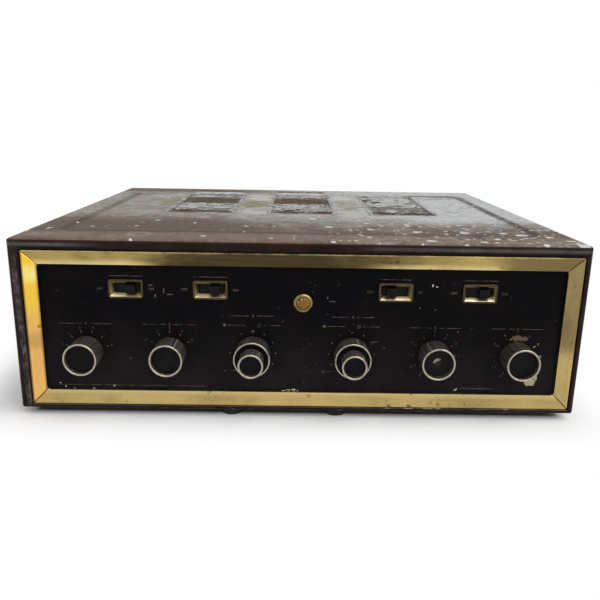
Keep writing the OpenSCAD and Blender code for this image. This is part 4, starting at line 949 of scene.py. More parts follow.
# the printed panel: near-black, smudged, scratched and worn through in places
panelSettings = {
    "black": (0.0016, 0.0012, 0.0021),
    "haze": (0.0165, 0.0138, 0.0158),
    "brown": (0.0052, 0.0034, 0.0044),
    "dust": (0.12, 0.11, 0.095),
    "brassBare": (0.15, 0.105, 0.055),
    "brassClean": (0.42, 0.37, 0.235),
    "chip": (0.55, 0.52, 0.43),
    "hazeTop": 34 * mm,
    "hazeFoot": 6 * mm,
    "markDeep": 9,
    "wear": (
        ("scratches", 2.4, 900, "dust", 0.8), ("chips", 2.2, 900, "chip", 1.0),
        ("bareSpots", 1.9, 520, "brassBare", 1.0), ("cleanSpots", 1.5, 420, "brassClean", 1.0),
    ),
    "bareSpots": (((154, 55.8), (3.6, 2.4)), ((159, 55.2), (3.4, 2)), ((150.5, 55), (1.4, 1))),
    "cleanSpots": (((167, 22.4), (4.6, 3)), ((162, 24.4), (3.4, 1.3)), ((171, 26), (1.2, 1.8))),
    "chips": (
        ((-11, 13.6), (1.5, 0.5)), ((-7.5, 14.2), (2, 0.4)),
        ((-4, 14.4), (1.6, 0.7)), ((-1, 13.6), (1.2, 0.4)),
        ((143, 12.2), (1, 0.4)), ((146, 12.6), (0.8, 0.6)), ((149, 12), (1, 0.4)), ((-148, 13.8), (1.2, 0.4)),
        ((-133, 16), (0.6, 0.9)), ((-172, 17.6), (0.9, 0.4)),
        ((-162, 13.6), (0.8, 0.4)), ((-168, 15), (0.5, 0.6)),
        ((114, 16.4), (0.4, 1)), ((113, 15.6), (1.3, 0.3)), ((92, 93.5), (0.5, 1.1)), ((95, 92.6), (1, 0.4)),
    ),
    "scratches": (
        ((-91, 84.6), (2.2, 0.5)), ((-95, 87), (0.5, 2)),
        ((-104, 91), (1.8, 0.4)), ((-101, 83.4), (0.6, 1.2)),
        ((19, 83.5), (0.5, 1.2)), ((23, 81), (2.4, 0.4)), ((53, 51.6), (2.6, 0.35)), ((60, 47), (1.2, 0.4)),
        ((71, 92), (0.5, 1.4)), ((95, 76), (0.5, 0.5)), ((-109, 51), (0.5, 0.5)), ((128, 17), (16, 0.3)),
        ((84, 77), (0.8, 0.4)), ((112, 60), (0.7, 0.5)), ((-120, 37), (0.4, 0.6)), ((-12, 66), (0.5, 0.4)),
    ),
}


def onPanel(spot):  # millimetres from the case's lower edge, as a place in the frame
    return (spot[0] * mm, panelFace, caseLow.z + spot[1] * mm)


def panelBlack(s):
    finish = newFinish("panelBlack", Specular_IOR_Level=0.05)
    place = placeOn(finish)
    smudge = place.cloud(26, 6, 0.62, 0.5)
    fine = place.cloud(700, 4, 0.6)
    colour = smudge.step(0.4, 0.75).mix(s["black"], s["brown"])
    low = place.axes()[2].step(panelHigh.z - s["hazeTop"], panelLow.z + s["hazeFoot"], 0, 0.8)
    colour = (low * smudge.step(0.2, 0.7, 0.5, 1)).mix(colour, s["haze"])
    dust = place.cells(260).step(0.14, 0.06) * place.cloud(60).step(0.5, 0.66)
    colour = (dust * 0.6).mix(colour, s["dust"])
    rub = place.stretched((1, 1, 9)).cloud(90, 6, 0.75, 1.2)
    rub = rub.step(0.69, 0.73) * smudge.step(0.45, 0.6)
    colour = (rub * 0.35).mix(colour, s["dust"])
    marks = []
    for group, ragged, grain, shade, share in s["wear"]:
        for spot, size in s[group]:
            mark = blotch(place, onPanel(spot), (size[0] * mm, s["markDeep"], size[1] * mm), ragged, grain)
            colour = (mark * share).mix(colour, s[shade])
            marks.append(mark)
    coat(finish, Base_Color=colour, Roughness=smudge.scaled(0.3, 0.36) + dust * 0.3)
    relief(finish, (anyOf(marks), 0.05 * mm, -0.6), (fine, 0.03 * mm, 0.25))
    return finish


dress(panelBlack(panelSettings), "front_panel")
print("panel painted")


# plain marks on the panel: rules, dots, ticks and figures, printed in faded gold
markSettings = {
    "ink": (0.14, 0.112, 0.07),
    "brightInk": (0.5, 0.45, 0.32),
    "inkLost": (0.009, 0.0075, 0.007),
    "lift": 0.03 * mm,
    "thick": 0.02 * mm,
    "figure": 2.3 * mm,
    "smallFigure": 1.9 * mm,
    "figureAway": 1.9 * mm,
    "rule": 0.28 * mm,
    "titleGap": 2.6 * mm,
    "titleRise": 20.4 * mm,
    "titleSpan": 37 * mm,
    "tickStart": 14 * mm,
    "tickLong": 2 * mm,
    "tickWide": 0.5 * mm,
    # a scale's knob, first and last angle from the top, and figures
    "scales": (
        ("selector", -75, 75, "123456"), ("mode", -60, 60, "12345"),
        ("balance", -150, 150, "54321012345"), ("loudness", -150, 30, "0123456"),
    ),
    "brightScale": ("loudness", 60, 150, ("7", "8", "9", "10")),
    # at a double knob: a dot's place, radius and hollow share, a rule's place and length
    "pairTitleRise": 27.5 * mm,
    "pairTitleSpan": 30 * mm,
    "rowRise": 20.6 * mm,
    "rowDots": ((-20 * mm, 1 * mm, 0), (4.5 * mm, 1.2 * mm, 0.72)),
    "rowRules": ((-11.5 * mm, 13 * mm), (13.5 * mm, 12 * mm)),
    "footDrop": 13.5 * mm,
    "footDot": (-20 * mm, 1 * mm),
    "footHollow": {"tone_a_outer": 0, "tone_b_outer": 0.72},
    "footRule": (-14 * mm, 8 * mm),
    "arcAngles": range(-150, 151, 30),
    "arcR": 16.2 * mm,
    "dot": 0.55 * mm,
    "middleDot": 0.825 * mm,
    "dotSides": 20,
    # at a switch, and along the panel's foot
    "switchTitleRise": 9.2 * mm,
    "switchTitleSpan": 24 * mm,
    "offAway": 6 * mm,
    "onAway": 5.5 * mm,
    "footLine": (-122 * mm, 16.4 * mm, 104 * mm),
}


def markInk(s, name="fadedGoldInk", ink="ink", lost=0.44):
    finish = newFinish(name, Specular_IOR_Level=0.2, Roughness=0.55)
    worn = placeOn(finish).cloud(190, 6, 0.7, 0.5)
    coat(finish, Base_Color=worn.step(lost, lost + 0.18).mix(s[ink], s["inkLost"]))
    relief(finish, (worn, 0.02 * mm, 0.3))
    return finish


def printFlat(obj, x, z, face=panelFace, towards=-1):  # lays a flat mark on an upright face
    obj.rotation_euler = (math.pi / 2, 0, 0 if towards < 0 else math.pi)
    obj.location = (x, face + towards * markSettings["lift"], z)
    return settle(obj)


def addFigure(words, x, z, height, *face):
    deselectAll()
    bpy.ops.object.text_add()
    text = bpy.context.object.data
    text.body = words
    text.size = height * 1.35
    text.align_x = "CENTER"
    text.align_y = "CENTER"
    text.extrude = markSettings["thick"] / 2
    bpy.ops.object.convert(target="MESH")
    return printFlat(bpy.context.object, x, z, *face)


def addStroke(x, z, wide, tall, turn=0):  # a printed bar with clipped corners
    deselectAll()
    bpy.ops.mesh.primitive_plane_add(size=1)
    bar = bpy.context.object
    bar.scale = (wide, tall, 1)
    settle(bar)
    editAll()
    bpy.ops.mesh.bevel(offset=min(wide, tall) * 0.2, affect="VERTICES")
    drawOut(0, 0, markSettings["thick"])
    closeUp()
    bar.rotation_euler = (0, 0, turn)
    return printFlat(settle(bar), x, z)


def addDot(x, z, radius, hollow=0):
    deselectAll()
    bpy.ops.mesh.primitive_circle_add(vertices=markSettings["dotSides"], radius=radius, fill_type="NGON")
    dot = bpy.context.object
    editAll()
    if hollow:
        bpy.ops.mesh.inset(thickness=radius * (1 - hollow))
        bpy.ops.mesh.delete(type="FACE")
        bpy.ops.mesh.select_all(action="SELECT")
    drawOut(0, 0, markSettings["thick"])
    closeUp()
    return printFlat(dot, x, z)


knobBodies = ("selector", "mode", "tone_a_outer", "tone_b_outer", "balance", "loudness")
knobSpots = {body: middleOf(body + "_rim") for body in knobBodies}


def aroundKnob(body, angle, radius):  # angle clockwise from the top
    centre = knobSpots[body]
    return centre.x + radius * math.sin(angle), centre.z + radius * math.cos(angle)


def addTicks(s, body, start, end, figures):
    made = []
    for i, figure in enumerate(figures):
        angle = math.radians(start + (end - start) * i / (len(figures) - 1))
        x, z = aroundKnob(body, angle, s["tickStart"] + s["tickLong"] / 2)
        made.append(addStroke(x, z, s["tickWide"], s["tickLong"], -angle))
        x, z = aroundKnob(body, angle, s["tickStart"] + s["tickLong"] + s["figureAway"])
        made.append(addFigure(figure, x, z, s["smallFigure"]))
    return made


def addTitle(x, z, span, figure, s):  # a rule broken by one figure
    side = span / 2 - s["titleGap"]
    made = [addStroke(x + turn * (s["titleGap"] + side / 2), z, side, s["rule"]) for turn in (-1, 1)]
    return made + [addFigure(figure, x, z, s["figure"])]


def addPairMarks(body, s):  # dots and rules above and below a double knob, and dots round it
    spot = knobSpots[body]
    row, foot = spot.z + s["rowRise"], spot.z - s["footDrop"]
    made = []
    for (dotAt, radius, hollow), (ruleAt, long) in zip(s["rowDots"], s["rowRules"]):
        made.append(addDot(spot.x + dotAt, row, radius, hollow))
        made.append(addStroke(spot.x + ruleAt, row, long, s["rule"]))
    for angle in s["arcAngles"]:
        x, z = aroundKnob(body, math.radians(angle), s["arcR"])
        made.append(addDot(x, z, s["dot"] if angle else s["middleDot"]))
    dotAt, radius = s["footDot"]
    ruleAt, long = s["footRule"]
    made.append(addDot(spot.x + dotAt, foot, radius, s["footHollow"][body]))
    made.append(addStroke(spot.x + ruleAt, foot, long, s["rule"]))
    return made


def buildMarks(s):
    parts = []
    for i, body in enumerate(knobBodies):
        spot = knobSpots[body]
        if body in s["footHollow"]:
            parts += addTitle(spot.x, spot.z + s["pairTitleRise"], s["pairTitleSpan"], str(i + 1), s)
            parts += addPairMarks(body, s)
        else:
            parts += addTitle(spot.x, spot.z + s["titleRise"], s["titleSpan"], str(i + 1), s)
    for scale in s["scales"]:
        parts += addTicks(s, *scale)
    bright = joined("brightMarks", addTicks(s, *s["brightScale"]))
    finished(bright, "cabinet", markInk(s, "brightGoldInk", "brightInk", 0.5))
    for low, high in solidBoxes("switch_frames"):
        centre = (low + high) / 2
        parts.append(addStroke(centre.x, centre.z + s["switchTitleRise"], s["switchTitleSpan"], s["rule"]))
        parts.append(addFigure("OFF", low.x - s["offAway"], centre.z, s["smallFigure"]))
        parts.append(addFigure("ON", high.x + s["onAway"], centre.z, s["smallFigure"]))
    aside, rise, long = s["footLine"]
    parts.append(addStroke(frontX + aside, caseLow.z + rise, long, s["rule"]))
    finished(joined("panelMarks", parts), "cabinet", markInk(s))


buildMarks(markSettings)
print("panel marks printed")


# knobs: aged brown plastic with a pale index line, a turned metal ring and a dished black cap
knobSettings = {
    "plastic": (0.016, 0.0124, 0.0115),
    "plasticLight": (0.075, 0.062, 0.056),
    "dust": (0.14, 0.125, 0.105),
    "ring": (0.43, 0.385, 0.315),
    "ringStain": (0.17, 0.135, 0.092),
    "cap": (0.0034, 0.0027, 0.003),
    "capRub": (0.0115, 0.009, 0.0092),
    "index": (0.2, 0.185, 0.155),
    "edge": 0.16 * mm,
    "cupDeep": 5 * mm,
    "capInset": 1.3 * mm,
    "capSink": 0.05 * mm,
    "capThick": 0.9 * mm,
    "capLip": 0.1 * mm,
    "capDish": 0.6 * mm,
    "capRings": (0.88, 0.75, 0.5, 0.25, 0.04),
    "indexAngles": {
        "selector": -75, "mode": 30, "tone_a_outer": -100, "tone_a_inner": 40,
        "tone_b_outer": 15, "tone_b_inner": 50, "balance": -30, "loudness": -150,
    },
    "indexWide": 0.8 * mm,
    "indexDeep": 0.3 * mm,
    "indexSunk": 0.05 * mm,
    "indexFrom": 0.3 * mm,
    "indexTo": 1.2 * mm,
    "indexEdge": 0.1 * mm,
    "capped": ("selector", "mode", "tone_a_inner", "tone_b_inner", "loudness"),
}


def knobPlastic(s):
    finish = newFinish("knobPlastic", Specular_IOR_Level=0.12)
    place = placeOn(finish)
    streak = place.stretched((1300, 26, 1300)).cloud(1.0, 3, 0.6)
    cloud = place.cloud(120, 5, 0.6)
    fine = place.cloud(1500, 4)
    colour = streak.step(0.3, 0.7).mix(s["plastic"], s["plasticLight"])
    dusty = cloud.step(0.48, 0.72) * fine.step(0.4, 0.65)
    ahead = facingOn(finish).axes()[1].step(-0.9, -0.6)
    colour = (ahead * (dusty * 0.55)).mix(colour, s["dust"])
    # painted shade in the cup: faces turned to the front, mostly the cup's floor, are darkened nearly to the
    # cap's black
    colour = ahead.scaled(-0.96, 0.96).mix(colour, s["cap"])
    coat(finish, Base_Color=colour, Roughness=cloud.scaled(0.35, 0.3))
    relief(finish, (streak, 0.15 * mm, 0.5), (fine, 0.04 * mm, 0.25))
    return finish


def clouded(name, tints, cloud, fine, span, rough, rise, **sockets):  # one tint clouding over another
    finish = newFinish(name, **sockets)
    place = placeOn(finish)
    cloud, fine = place.cloud(*cloud), place.cloud(*fine)
    coat(finish, Base_Color=cloud.step(*span).mix(*tints), Roughness=cloud.scaled(*rough))
    relief(finish, (cloud, *rise), (fine, 0.03 * mm, 0.3))
    return finish


def ringMetal(s):
    return clouded(
        "turnedRing", (s["ring"], s["ringStain"]), (210, 5, 0.65), (1800, 3), (0.5, 0.75), (0.35, 0.22),
        (0.08 * mm, 0.15), Metallic=1.0,
    )


def capBlack(s):
    return clouded(
        "knobCap", (s["cap"], s["capRub"]), (240, 6, 0.7), (1600, 3), (0.45, 0.8), (0.3, 0.3),
        (0.1 * mm, 0.2), Specular_IOR_Level=0.1,
    )


def indexPaint(s):
    finish = newFinish("indexPaint", Roughness=0.6)
    worn = placeOn(finish).cloud(900, 5, 0.7)
    coat(finish, Base_Color=worn.step(0.5, 0.7).mix(s["index"], s["plasticLight"]))
    relief(finish, (worn, 0.05 * mm, 0.4))
    return finish


def addIndex(body, angle, s):  # fills the groove along the knob's side
    low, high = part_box(body + "_knob")
    outer = (high.x - low.x) / 2 - s["indexSunk"]
    line = addBlock(
        body + "Index",
        (-s["indexWide"] / 2, low.y + s["indexFrom"], outer - s["indexDeep"]),
        (s["indexWide"] / 2, high.y - s["indexTo"], outer),
    )
    bevelled(line, s["indexEdge"], 2)
    line.rotation_euler = (0, math.radians(angle), 0)
    line.location = ((low.x + high.x) / 2, 0, (low.z + high.z) / 2)
    return settle(line)


def addCap(body, s):  # a dished disc in the knob's cup
    low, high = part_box(body + "_rim")
    reach = (high.x - low.x) / 2 - s["capInset"]
    centre = middleOf(body + "_knob")
    centre.y = low.y + s["cupDeep"] - s["capSink"]
    thick = s["capThick"]
    rings = [(reach, 0), (reach, thick), (reach * 0.96, thick + s["capLip"])]
    rings += [(reach * share, thick - s["capDish"] * (1 - share * share)) for share in s["capRings"]]
    return smoothed(addTurned(body + "Cap", centre, rings, (0, -1, 0)), 40)


def buildKnobs(s):
    plastic, ring, cap, ink = knobPlastic(s), ringMetal(s), capBlack(s), indexPaint(s)
    for body, angle in s["indexAngles"].items():
        node = body + "_knob"
        knob = bevelled(copyNode(body + "Barrel", node), s["edge"], 2)
        finished(knob, body, plastic, (node,))
        dress(ring, body + "_rim")
        finished(addIndex(body, angle, s), body, ink)
        if body in s["capped"]:
            finished(addCap(body, s), body, cap)


buildKnobs(knobSettings)
print("knobs finished")


# slide switches: gold troughs with black ridged nubs
switchSettings = {
    # gold is the lit tint of faces turned up; rim, side and edge are painted darker tints of the same brass
    "gold": (1.0, 0.9, 0.62),
    "goldDull": (0.62, 0.5, 0.28),
    "rim": (0.085, 0.06, 0.024),
    "side": (0.3, 0.235, 0.125),
    "edge": (0.062, 0.047, 0.025),
    "edgeWide": 1.3 * mm,
    "nub": (0.004, 0.0037, 0.0037),
    "nubRub": (0.011, 0.0105, 0.0105),
    "nubWide": 7 * mm,
    "nubTall": 5.6 * mm,
    "nubEdge": 0.4 * mm,
    "troughEdge": 0.18 * mm,
    "plateDeep": 1.8 * mm,
    "ridges": 3,
    "ridgeWide": 0.7 * mm,
    "ridgeOut": 0.25 * mm,
    "ridgeTall": 0.76,
    "ridgeEdge": 0.2 * mm,
}


# worn brass, with other tints on faces ahead, on faces to the side and round each box's edge; these tints by
# facing are painted light: faces turned up keep the lit tint, the others take darker painted-shade tints
def wornGold(name, bright, dull, ahead, side=None, edge=None):
    finish = newFinish(name, Metallic=1.0)
    place = placeOn(finish)
    cloud = place.cloud(90, 6, 0.65, 0.3)
    fine = place.cloud(1080, 4)
    faceY, faceZ = facingOn(finish).axes()[1:]
    colour = cloud.step(0.42, 0.72).mix(bright, dull)
    if side:
        colour = faceZ.step(0.35, 0.1).mix(colour, side)
    colour = (faceY.step(-0.6, -0.95) * cloud.step(0.3, 0.6, 0.65, 1)).mix(colour, ahead)
    if edge:
        boxes, wide, shade = edge
        x, y, z = place.axes()
        band = None
        for low, high in boxes:
            centre, half = (low + high) / 2, (high - low) / 2
            beyond = abs(x - centre.x) - (half.x - wide) | abs(z - centre.z) - (half.z - wide)
            band = band & beyond if band else beyond
        colour = band.step(-0.1 * mm, 0.1 * mm, 0, 0.85).mix(colour, shade)
    coat(finish, Base_Color=colour, Roughness=fine.scaled(0.1, cloud.scaled(0.35, 0.12)))
    relief(finish, (cloud, 0.15 * mm, 0.15), (fine, 0.03 * mm, 0.3))
    return finish


def mouldedPlastic(name, dark, light, scale=220, rough=0.35, gloss=0.4):
    return clouded(
        name, (dark, light), (scale, 6, 0.65), (scale * 9, 4), (0.45, 0.78), (0.3, rough),
        (0.12 * mm, 0.15), Specular_IOR_Level=gloss,
    )


def buildSlide(node, finish, s):
    low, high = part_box(node)
    centre = (low + high) / 2
    plateFront = high.y - s["plateDeep"]
    slide = addBlock(node + "Nub", (low.x, plateFront, low.z), high)
    pickFaces(slide, lambda face: face.normal.y < -0.9)
    drawOut(0, 0, 0)
    bpy.ops.transform.resize(
        value=(s["nubWide"] / (high.x - low.x), 1, s["nubTall"] / (high.z - low.z)),
        center_override=(centre.x, plateFront, centre.z),
    )
    drawOut(0, low.y - plateFront, 0)
    bpy.ops.object.mode_set(mode="OBJECT")
    parts = [bevelled(slide, s["nubEdge"], 3)]
    half = Vector((s["ridgeWide"] / 2, s["ridgeOut"], s["ridgeTall"] * s["nubTall"] / 2))
    for i in range(s["ridges"]):
        x = centre.x + (i - (s["ridges"] - 1) / 2) * 2 * s["ridgeWide"]
        spot = Vector((x, low.y, centre.z))
        parts.append(bevelled(addBlock("ridge", spot - half, spot + half), s["ridgeEdge"], 2))
    finished(joined(node + "Nub", parts), node, finish, (node,))


def buildSwitches(s):
    black = mouldedPlastic("slideBlack", s["nub"], s["nubRub"], gloss=0.12)
    for node in ("slide_far_left", "slide_near_left", "slide_near_right", "slide_far_right"):
        buildSlide(node, black, s)
    troughs = bevelled(copyNode("switchTroughs", "switch_frames"), s["troughEdge"], 2)
    edge = (solidBoxes("switch_frames"), s["edgeWide"], s["edge"])
    gold = wornGold("troughGold", s["gold"], s["goldDull"], s["rim"], s["side"], edge)
    finished(troughs, "cabinet", gold, ("switch_frames",))


buildSwitches(switchSettings)
print("switches finished")


# pilot light: a faceted amber jewel in a brass ring
pilotSettings = {
    "amber": (0.36, 0.17, 0.014),
    "amberDeep": (0.075, 0.03, 0.004),
    "glint": (0.85, 0.56, 0.12),
    "brass": (0.4, 0.3, 0.12),
    "brassDull": (0.15, 0.105, 0.042),
    "brassRim": (0.24, 0.18, 0.075),
    "facets": 14,
    "dome": 1.8 * mm,
    # shares of the radius and of the dome's rise
    "domeRings": ((0.86, 0.42), (0.62, 0.72), (0.34, 0.93), (0.1, 1.0)),
    "jewelEdge": 0.08 * mm,
    "ringEdge": 0.15 * mm,
}


def amberGlass(s, centre):
    finish = newFinish(
        "amberJewel", Roughness=0.12, IOR=1.52, Transmission_Weight=0.1, Specular_IOR_Level=0.25
    )
    place = placeOn(finish)
    x, y, z = vectorMaths("SUBTRACT", place, centre).axes()
    wave = maths("SINE", maths("ARCTAN2", x, z) * s["facets"])
    depth = place.cloud(520, 3, 0.5, 0.8)
    rays = wave.scaled(0.22, depth)
    colour = rays.step(0.3, 0.72).mix(s["amber"], s["amberDeep"])
    glint = depth.step(0.6, 0.7) * wave.step(0.1, 0.6)
    coat(finish, Base_Color=glint.mix(colour, s["glint"]))
    relief(finish, (rays, 0.15 * mm, 0.35), (depth, 0.1 * mm, 0.2))
    return finish


def buildPilot(s):
    low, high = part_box("pilot_jewel")
    centre = Vector(((low.x + high.x) / 2, high.y, (low.z + high.z) / 2))
    radius, out = (high.x - low.x) / 2, high.y - low.y
    rings = [(radius, 0), (radius, out - s["dome"])]
    rings += [(radius * wide, out - s["dome"] * (1 - rise)) for wide, rise in s["domeRings"]]
    jewel = addTurned("amberJewel", centre, rings, (0, -1, 0), s["facets"])
    bevelled(jewel, s["jewelEdge"], 1, 8, 4)
    finished(jewel, "cabinet", amberGlass(s, centre), ("pilot_jewel",))
    ring = bevelled(copyNode("pilotRing", "pilot_ring"), s["ringEdge"], 2)
    brass = wornGold("pilotBrass", s["brass"], s["brassDull"], s["brassRim"])
    finished(ring, "cabinet", brass, ("pilot_ring",))


buildPilot(pilotSettings)
print("pilot light finished")


# plain metals and mouldings: two tints, cloud scale, roughness, and the CAD nodes dressed in it
metalSettings = {
    "bottomPlate": ((0.4, 0.4, 0.38), (0.2, 0.19, 0.17), 40, 0.35, ("bottom_plate", "subpanel")),
    "chassisPlate": ((0.5, 0.49, 0.45), (0.25, 0.22, 0.17), 30, 0.32, ("chassis",)),
    "screwPlate": ((0.5, 0.48, 0.44), (0.24, 0.19, 0.13), 160, 0.28, ("case_screws",)),
    # the shaft steel is darkened far below steel's own colour as painted shade; the tip's steel is the same
    # metal, lit
    "shaftSteel": (
        (0.035, 0.032, 0.028), (0.018, 0.015, 0.012), 200, 0.45, [n for n in nodes if n.endswith("_shaft")]
    ),
    "tipSteel": ((0.24, 0.235, 0.2), (0.13, 0.118, 0.095), 200, 0.38, ()),
    "switchSteel": ((0.46, 0.45, 0.42), (0.24, 0.22, 0.19), 90, 0.33, ("switch_bodies",)),
    "nutNickel": ((0.6, 0.58, 0.54), (0.3, 0.27, 0.22), 170, 0.22, ("control_nuts", "input_jacks")),
    "potCan": ((0.55, 0.54, 0.51), (0.3, 0.28, 0.25), 80, 0.34, ("dual_pots", "single_pots")),
    "lampNickel": ((0.6, 0.58, 0.54), (0.36, 0.33, 0.28), 120, 0.25, ("pilot_lamp",)),
    "drawnCan": ((0.66, 0.66, 0.65), (0.4, 0.39, 0.37), 36, 0.3, ("filter_cans",)),
    "sleeveBrass": ((0.62, 0.47, 0.22), (0.32, 0.22, 0.1), 180, 0.24, ("tone_a_sleeve", "tone_b_sleeve")),
}
plasticSettings = {
    "rubber": ((0.011, 0.0105, 0.01), (0.03, 0.028, 0.026), 150, 0.6, ("rubber_feet", "cord_grommet")),
    "phenolicBoard": (
        (0.2, 0.105, 0.04), (0.32, 0.19, 0.085), 60, 0.4,
        ("rotary_switches", "component_boards", "terminal_boards"),
    ),
    "socketPhenolic": ((0.05, 0.026, 0.013), (0.1, 0.058, 0.032), 120, 0.35, ("tube_sockets",)),
    "bakeliteBlack": ((0.009, 0.008, 0.0075), (0.03, 0.027, 0.025), 110, 0.25, ("fuse_holder", "ac_outlets")),
}


def agedMetal(name, bright, dull, scale, rough):
    finish = newFinish(name, Metallic=1.0)
    place = placeOn(finish)
    cloud = place.cloud(scale, 6, 0.62, 0.3)
    drawn = (1, 1, 0.06) if name == "drawnCan" else (0.1, 1, 1)
    streak = place.stretched(drawn).cloud(scale * 8, 4, 0.6)
    colour = cloud.step(0.45, 0.8).mix(bright, dull)
    colour = streak.step(0.5, 0.8, 0, 0.35).mix(colour, dull)
    coat(finish, Base_Color=colour, Roughness=streak.scaled(0.12, cloud.scaled(0.3, rough - 0.1)))
    relief(finish, (cloud, 0.3 * mm, 0.08), (streak, 0.04 * mm, 0.3))
    return finish


metals = {}
for settings, makeFinish in ((metalSettings, agedMetal), (plasticSettings, mouldedPlastic)):
    for name, (*look, dressed) in settings.items():
        metals[name] = makeFinish(name, *look)
        dress(metals[name], *dressed)
print("metals and mouldings dressed")


# the end of the bare shaft, bright on the half towards the index: a lit copy of the steel, while the shaft's
# own steel is darkened as painted shade
tipSettings = {
    "deep": 1.2 * mm,
    "ahead": 0.4 * mm,
    "overlap": 0.4 * mm,
    "endSlack": 0.05 * mm,
    "sides": 40,
    "edge": 0.12 * mm,
}


def buildTip(body, s):
    turn = math.radians(knobSettings["indexAngles"][body])
    axis = knobSpots[body]
    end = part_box(body + "_shaft")[0].y
    rim = [v.co - axis for v in nodes[body + "_shaft"].data.vertices if v.co.y < end + s["endSlack"]]
    end = min(end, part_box(body + "_rim")[0].y + knobSettings["cupDeep"])
    level = max(p.x * math.sin(turn) + p.z * math.cos(turn) for p in rim) - s["overlap"]
    deselectAll()
    bpy.ops.mesh.primitive_circle_add(vertices=s["sides"], radius=max(math.hypot(p.x, p.z) for p in rim))
    tip = named(body + "Tip")
    bpy.context.tool_settings.mesh_select_mode = (True, False, False)
    bpy.ops.object.mode_set(mode="EDIT")
    bpy.ops.mesh.select_all(action="DESELECT")
    bpy.ops.object.mode_set(mode="OBJECT")
    for vertex in tip.data.vertices:
        vertex.select = vertex.co.y < level
    bpy.ops.object.mode_set(mode="EDIT")
    bpy.ops.mesh.delete(type="VERT")
    bpy.ops.mesh.select_all(action="SELECT")
    bpy.ops.mesh.edge_face_add()
    drawOut(0, 0, s["deep"])
    closeUp()
    tip.rotation_euler = (math.pi / 2, 0, 0)
    settle(tip)
    tip.rotation_euler = (0, turn, 0)
    tip.location = (axis.x, end + s["deep"] - s["ahead"], axis.z)
    bevelled(settle(tip), s["edge"])
    finished(tip, body, metals["tipSteel"])


buildTip("balance", tipSettings)
print("shaft end added")


# transformers: black enamelled covers on a laminated core, bolted through
ironSettings = {
    "enamel": (0.0085, 0.008, 0.008),
    "enamelDust": (0.075, 0.068, 0.058),
    "core": (0.075, 0.07, 0.062),
    "coreDark": (0.03, 0.027, 0.024),
    "coreRust": (0.14, 0.07, 0.03),
    "sheet": 0.7 * mm,
    "coreInset": 2.4 * mm,
    "flangeInset": 3.4 * mm,
    "boltRise": 1.5 * mm,
    # radius and height of each ring
    "washer": ((3.2 * mm, 0), (3.2 * mm, 0.4 * mm), (2.6 * mm, 0.6 * mm)),
    "head": ((2.6 * mm, 0.5 * mm), (2.6 * mm, 1.8 * mm), (2.21 * mm, 2.1 * mm)),
    "headEdge": 0.12 * mm,
}


def blackEnamel(s):
    finish = newFinish("blackEnamel", Specular_IOR_Level=0.45)
    place = placeOn(finish)
    cloud = place.cloud(60, 6, 0.62)
    fine = place.cloud(700, 4)
    dusty = facingOn(finish).axes()[2].step(0.3, 0.95) * cloud.step(0.25, 0.7, 0.25, 0.85)
    rough = dusty.scaled(0.4, cloud.scaled(0.2, 0.2))
    coat(finish, Base_Color=dusty.mix(s["enamel"], s["enamelDust"]), Roughness=rough)
    relief(finish, (cloud, 0.3 * mm, 0.12), (fine, 0.06 * mm, 0.3))
    return finish


def laminated(s):
    finish = newFinish("laminatedCore", Metallic=0.6)
    place = placeOn(finish)
    sheets = maths("SINE", place.axes()[2] * (2 * math.pi / s["sheet"]))
    cloud = place.cloud(80, 6, 0.6)
    colour = sheets.step(-0.6, 0.6).mix(s["coreDark"], s["core"])
    colour = cloud.step(0.52, 0.75, 0, 0.7).mix(colour, s["coreRust"])
    coat(finish, Base_Color=colour, Roughness=cloud.scaled(0.3, 0.4))
    relief(finish, (sheets, 0.15 * mm, 0.6), (cloud, 0.2 * mm, 0.2))
    return finish


def addBolt(place, s):  # hexagon head on a washer
    washer = addTurned("washer", place, s["washer"])
    head = addTurned("head", place, s["head"], sides=6)
    return [smoothed(washer), bevelled(head, s["headEdge"], 2)]


def buildIron(s):
    dress(blackEnamel(s), "power_covers", "output_transformers")
    dress(laminated(s), "power_core")
    low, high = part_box("power_core")
    feet = [(low, high, high.z, s["coreInset"])]
    feet += [(low, high, low.z, s["flangeInset"]) for low, high in solidBoxes("output_transformers")]
    bolts = []
    for low, high, level, inset in feet:
        for x in (low.x + inset, high.x - inset):
            for y in (low.y + inset, high.y - inset):
                bolts += addBolt((x, y, level + s["boltRise"]), s)
    finished(joined("ironBolts", bolts), "cabinet", metals["screwPlate"])


buildIron(ironSettings)
print("transformers finished")


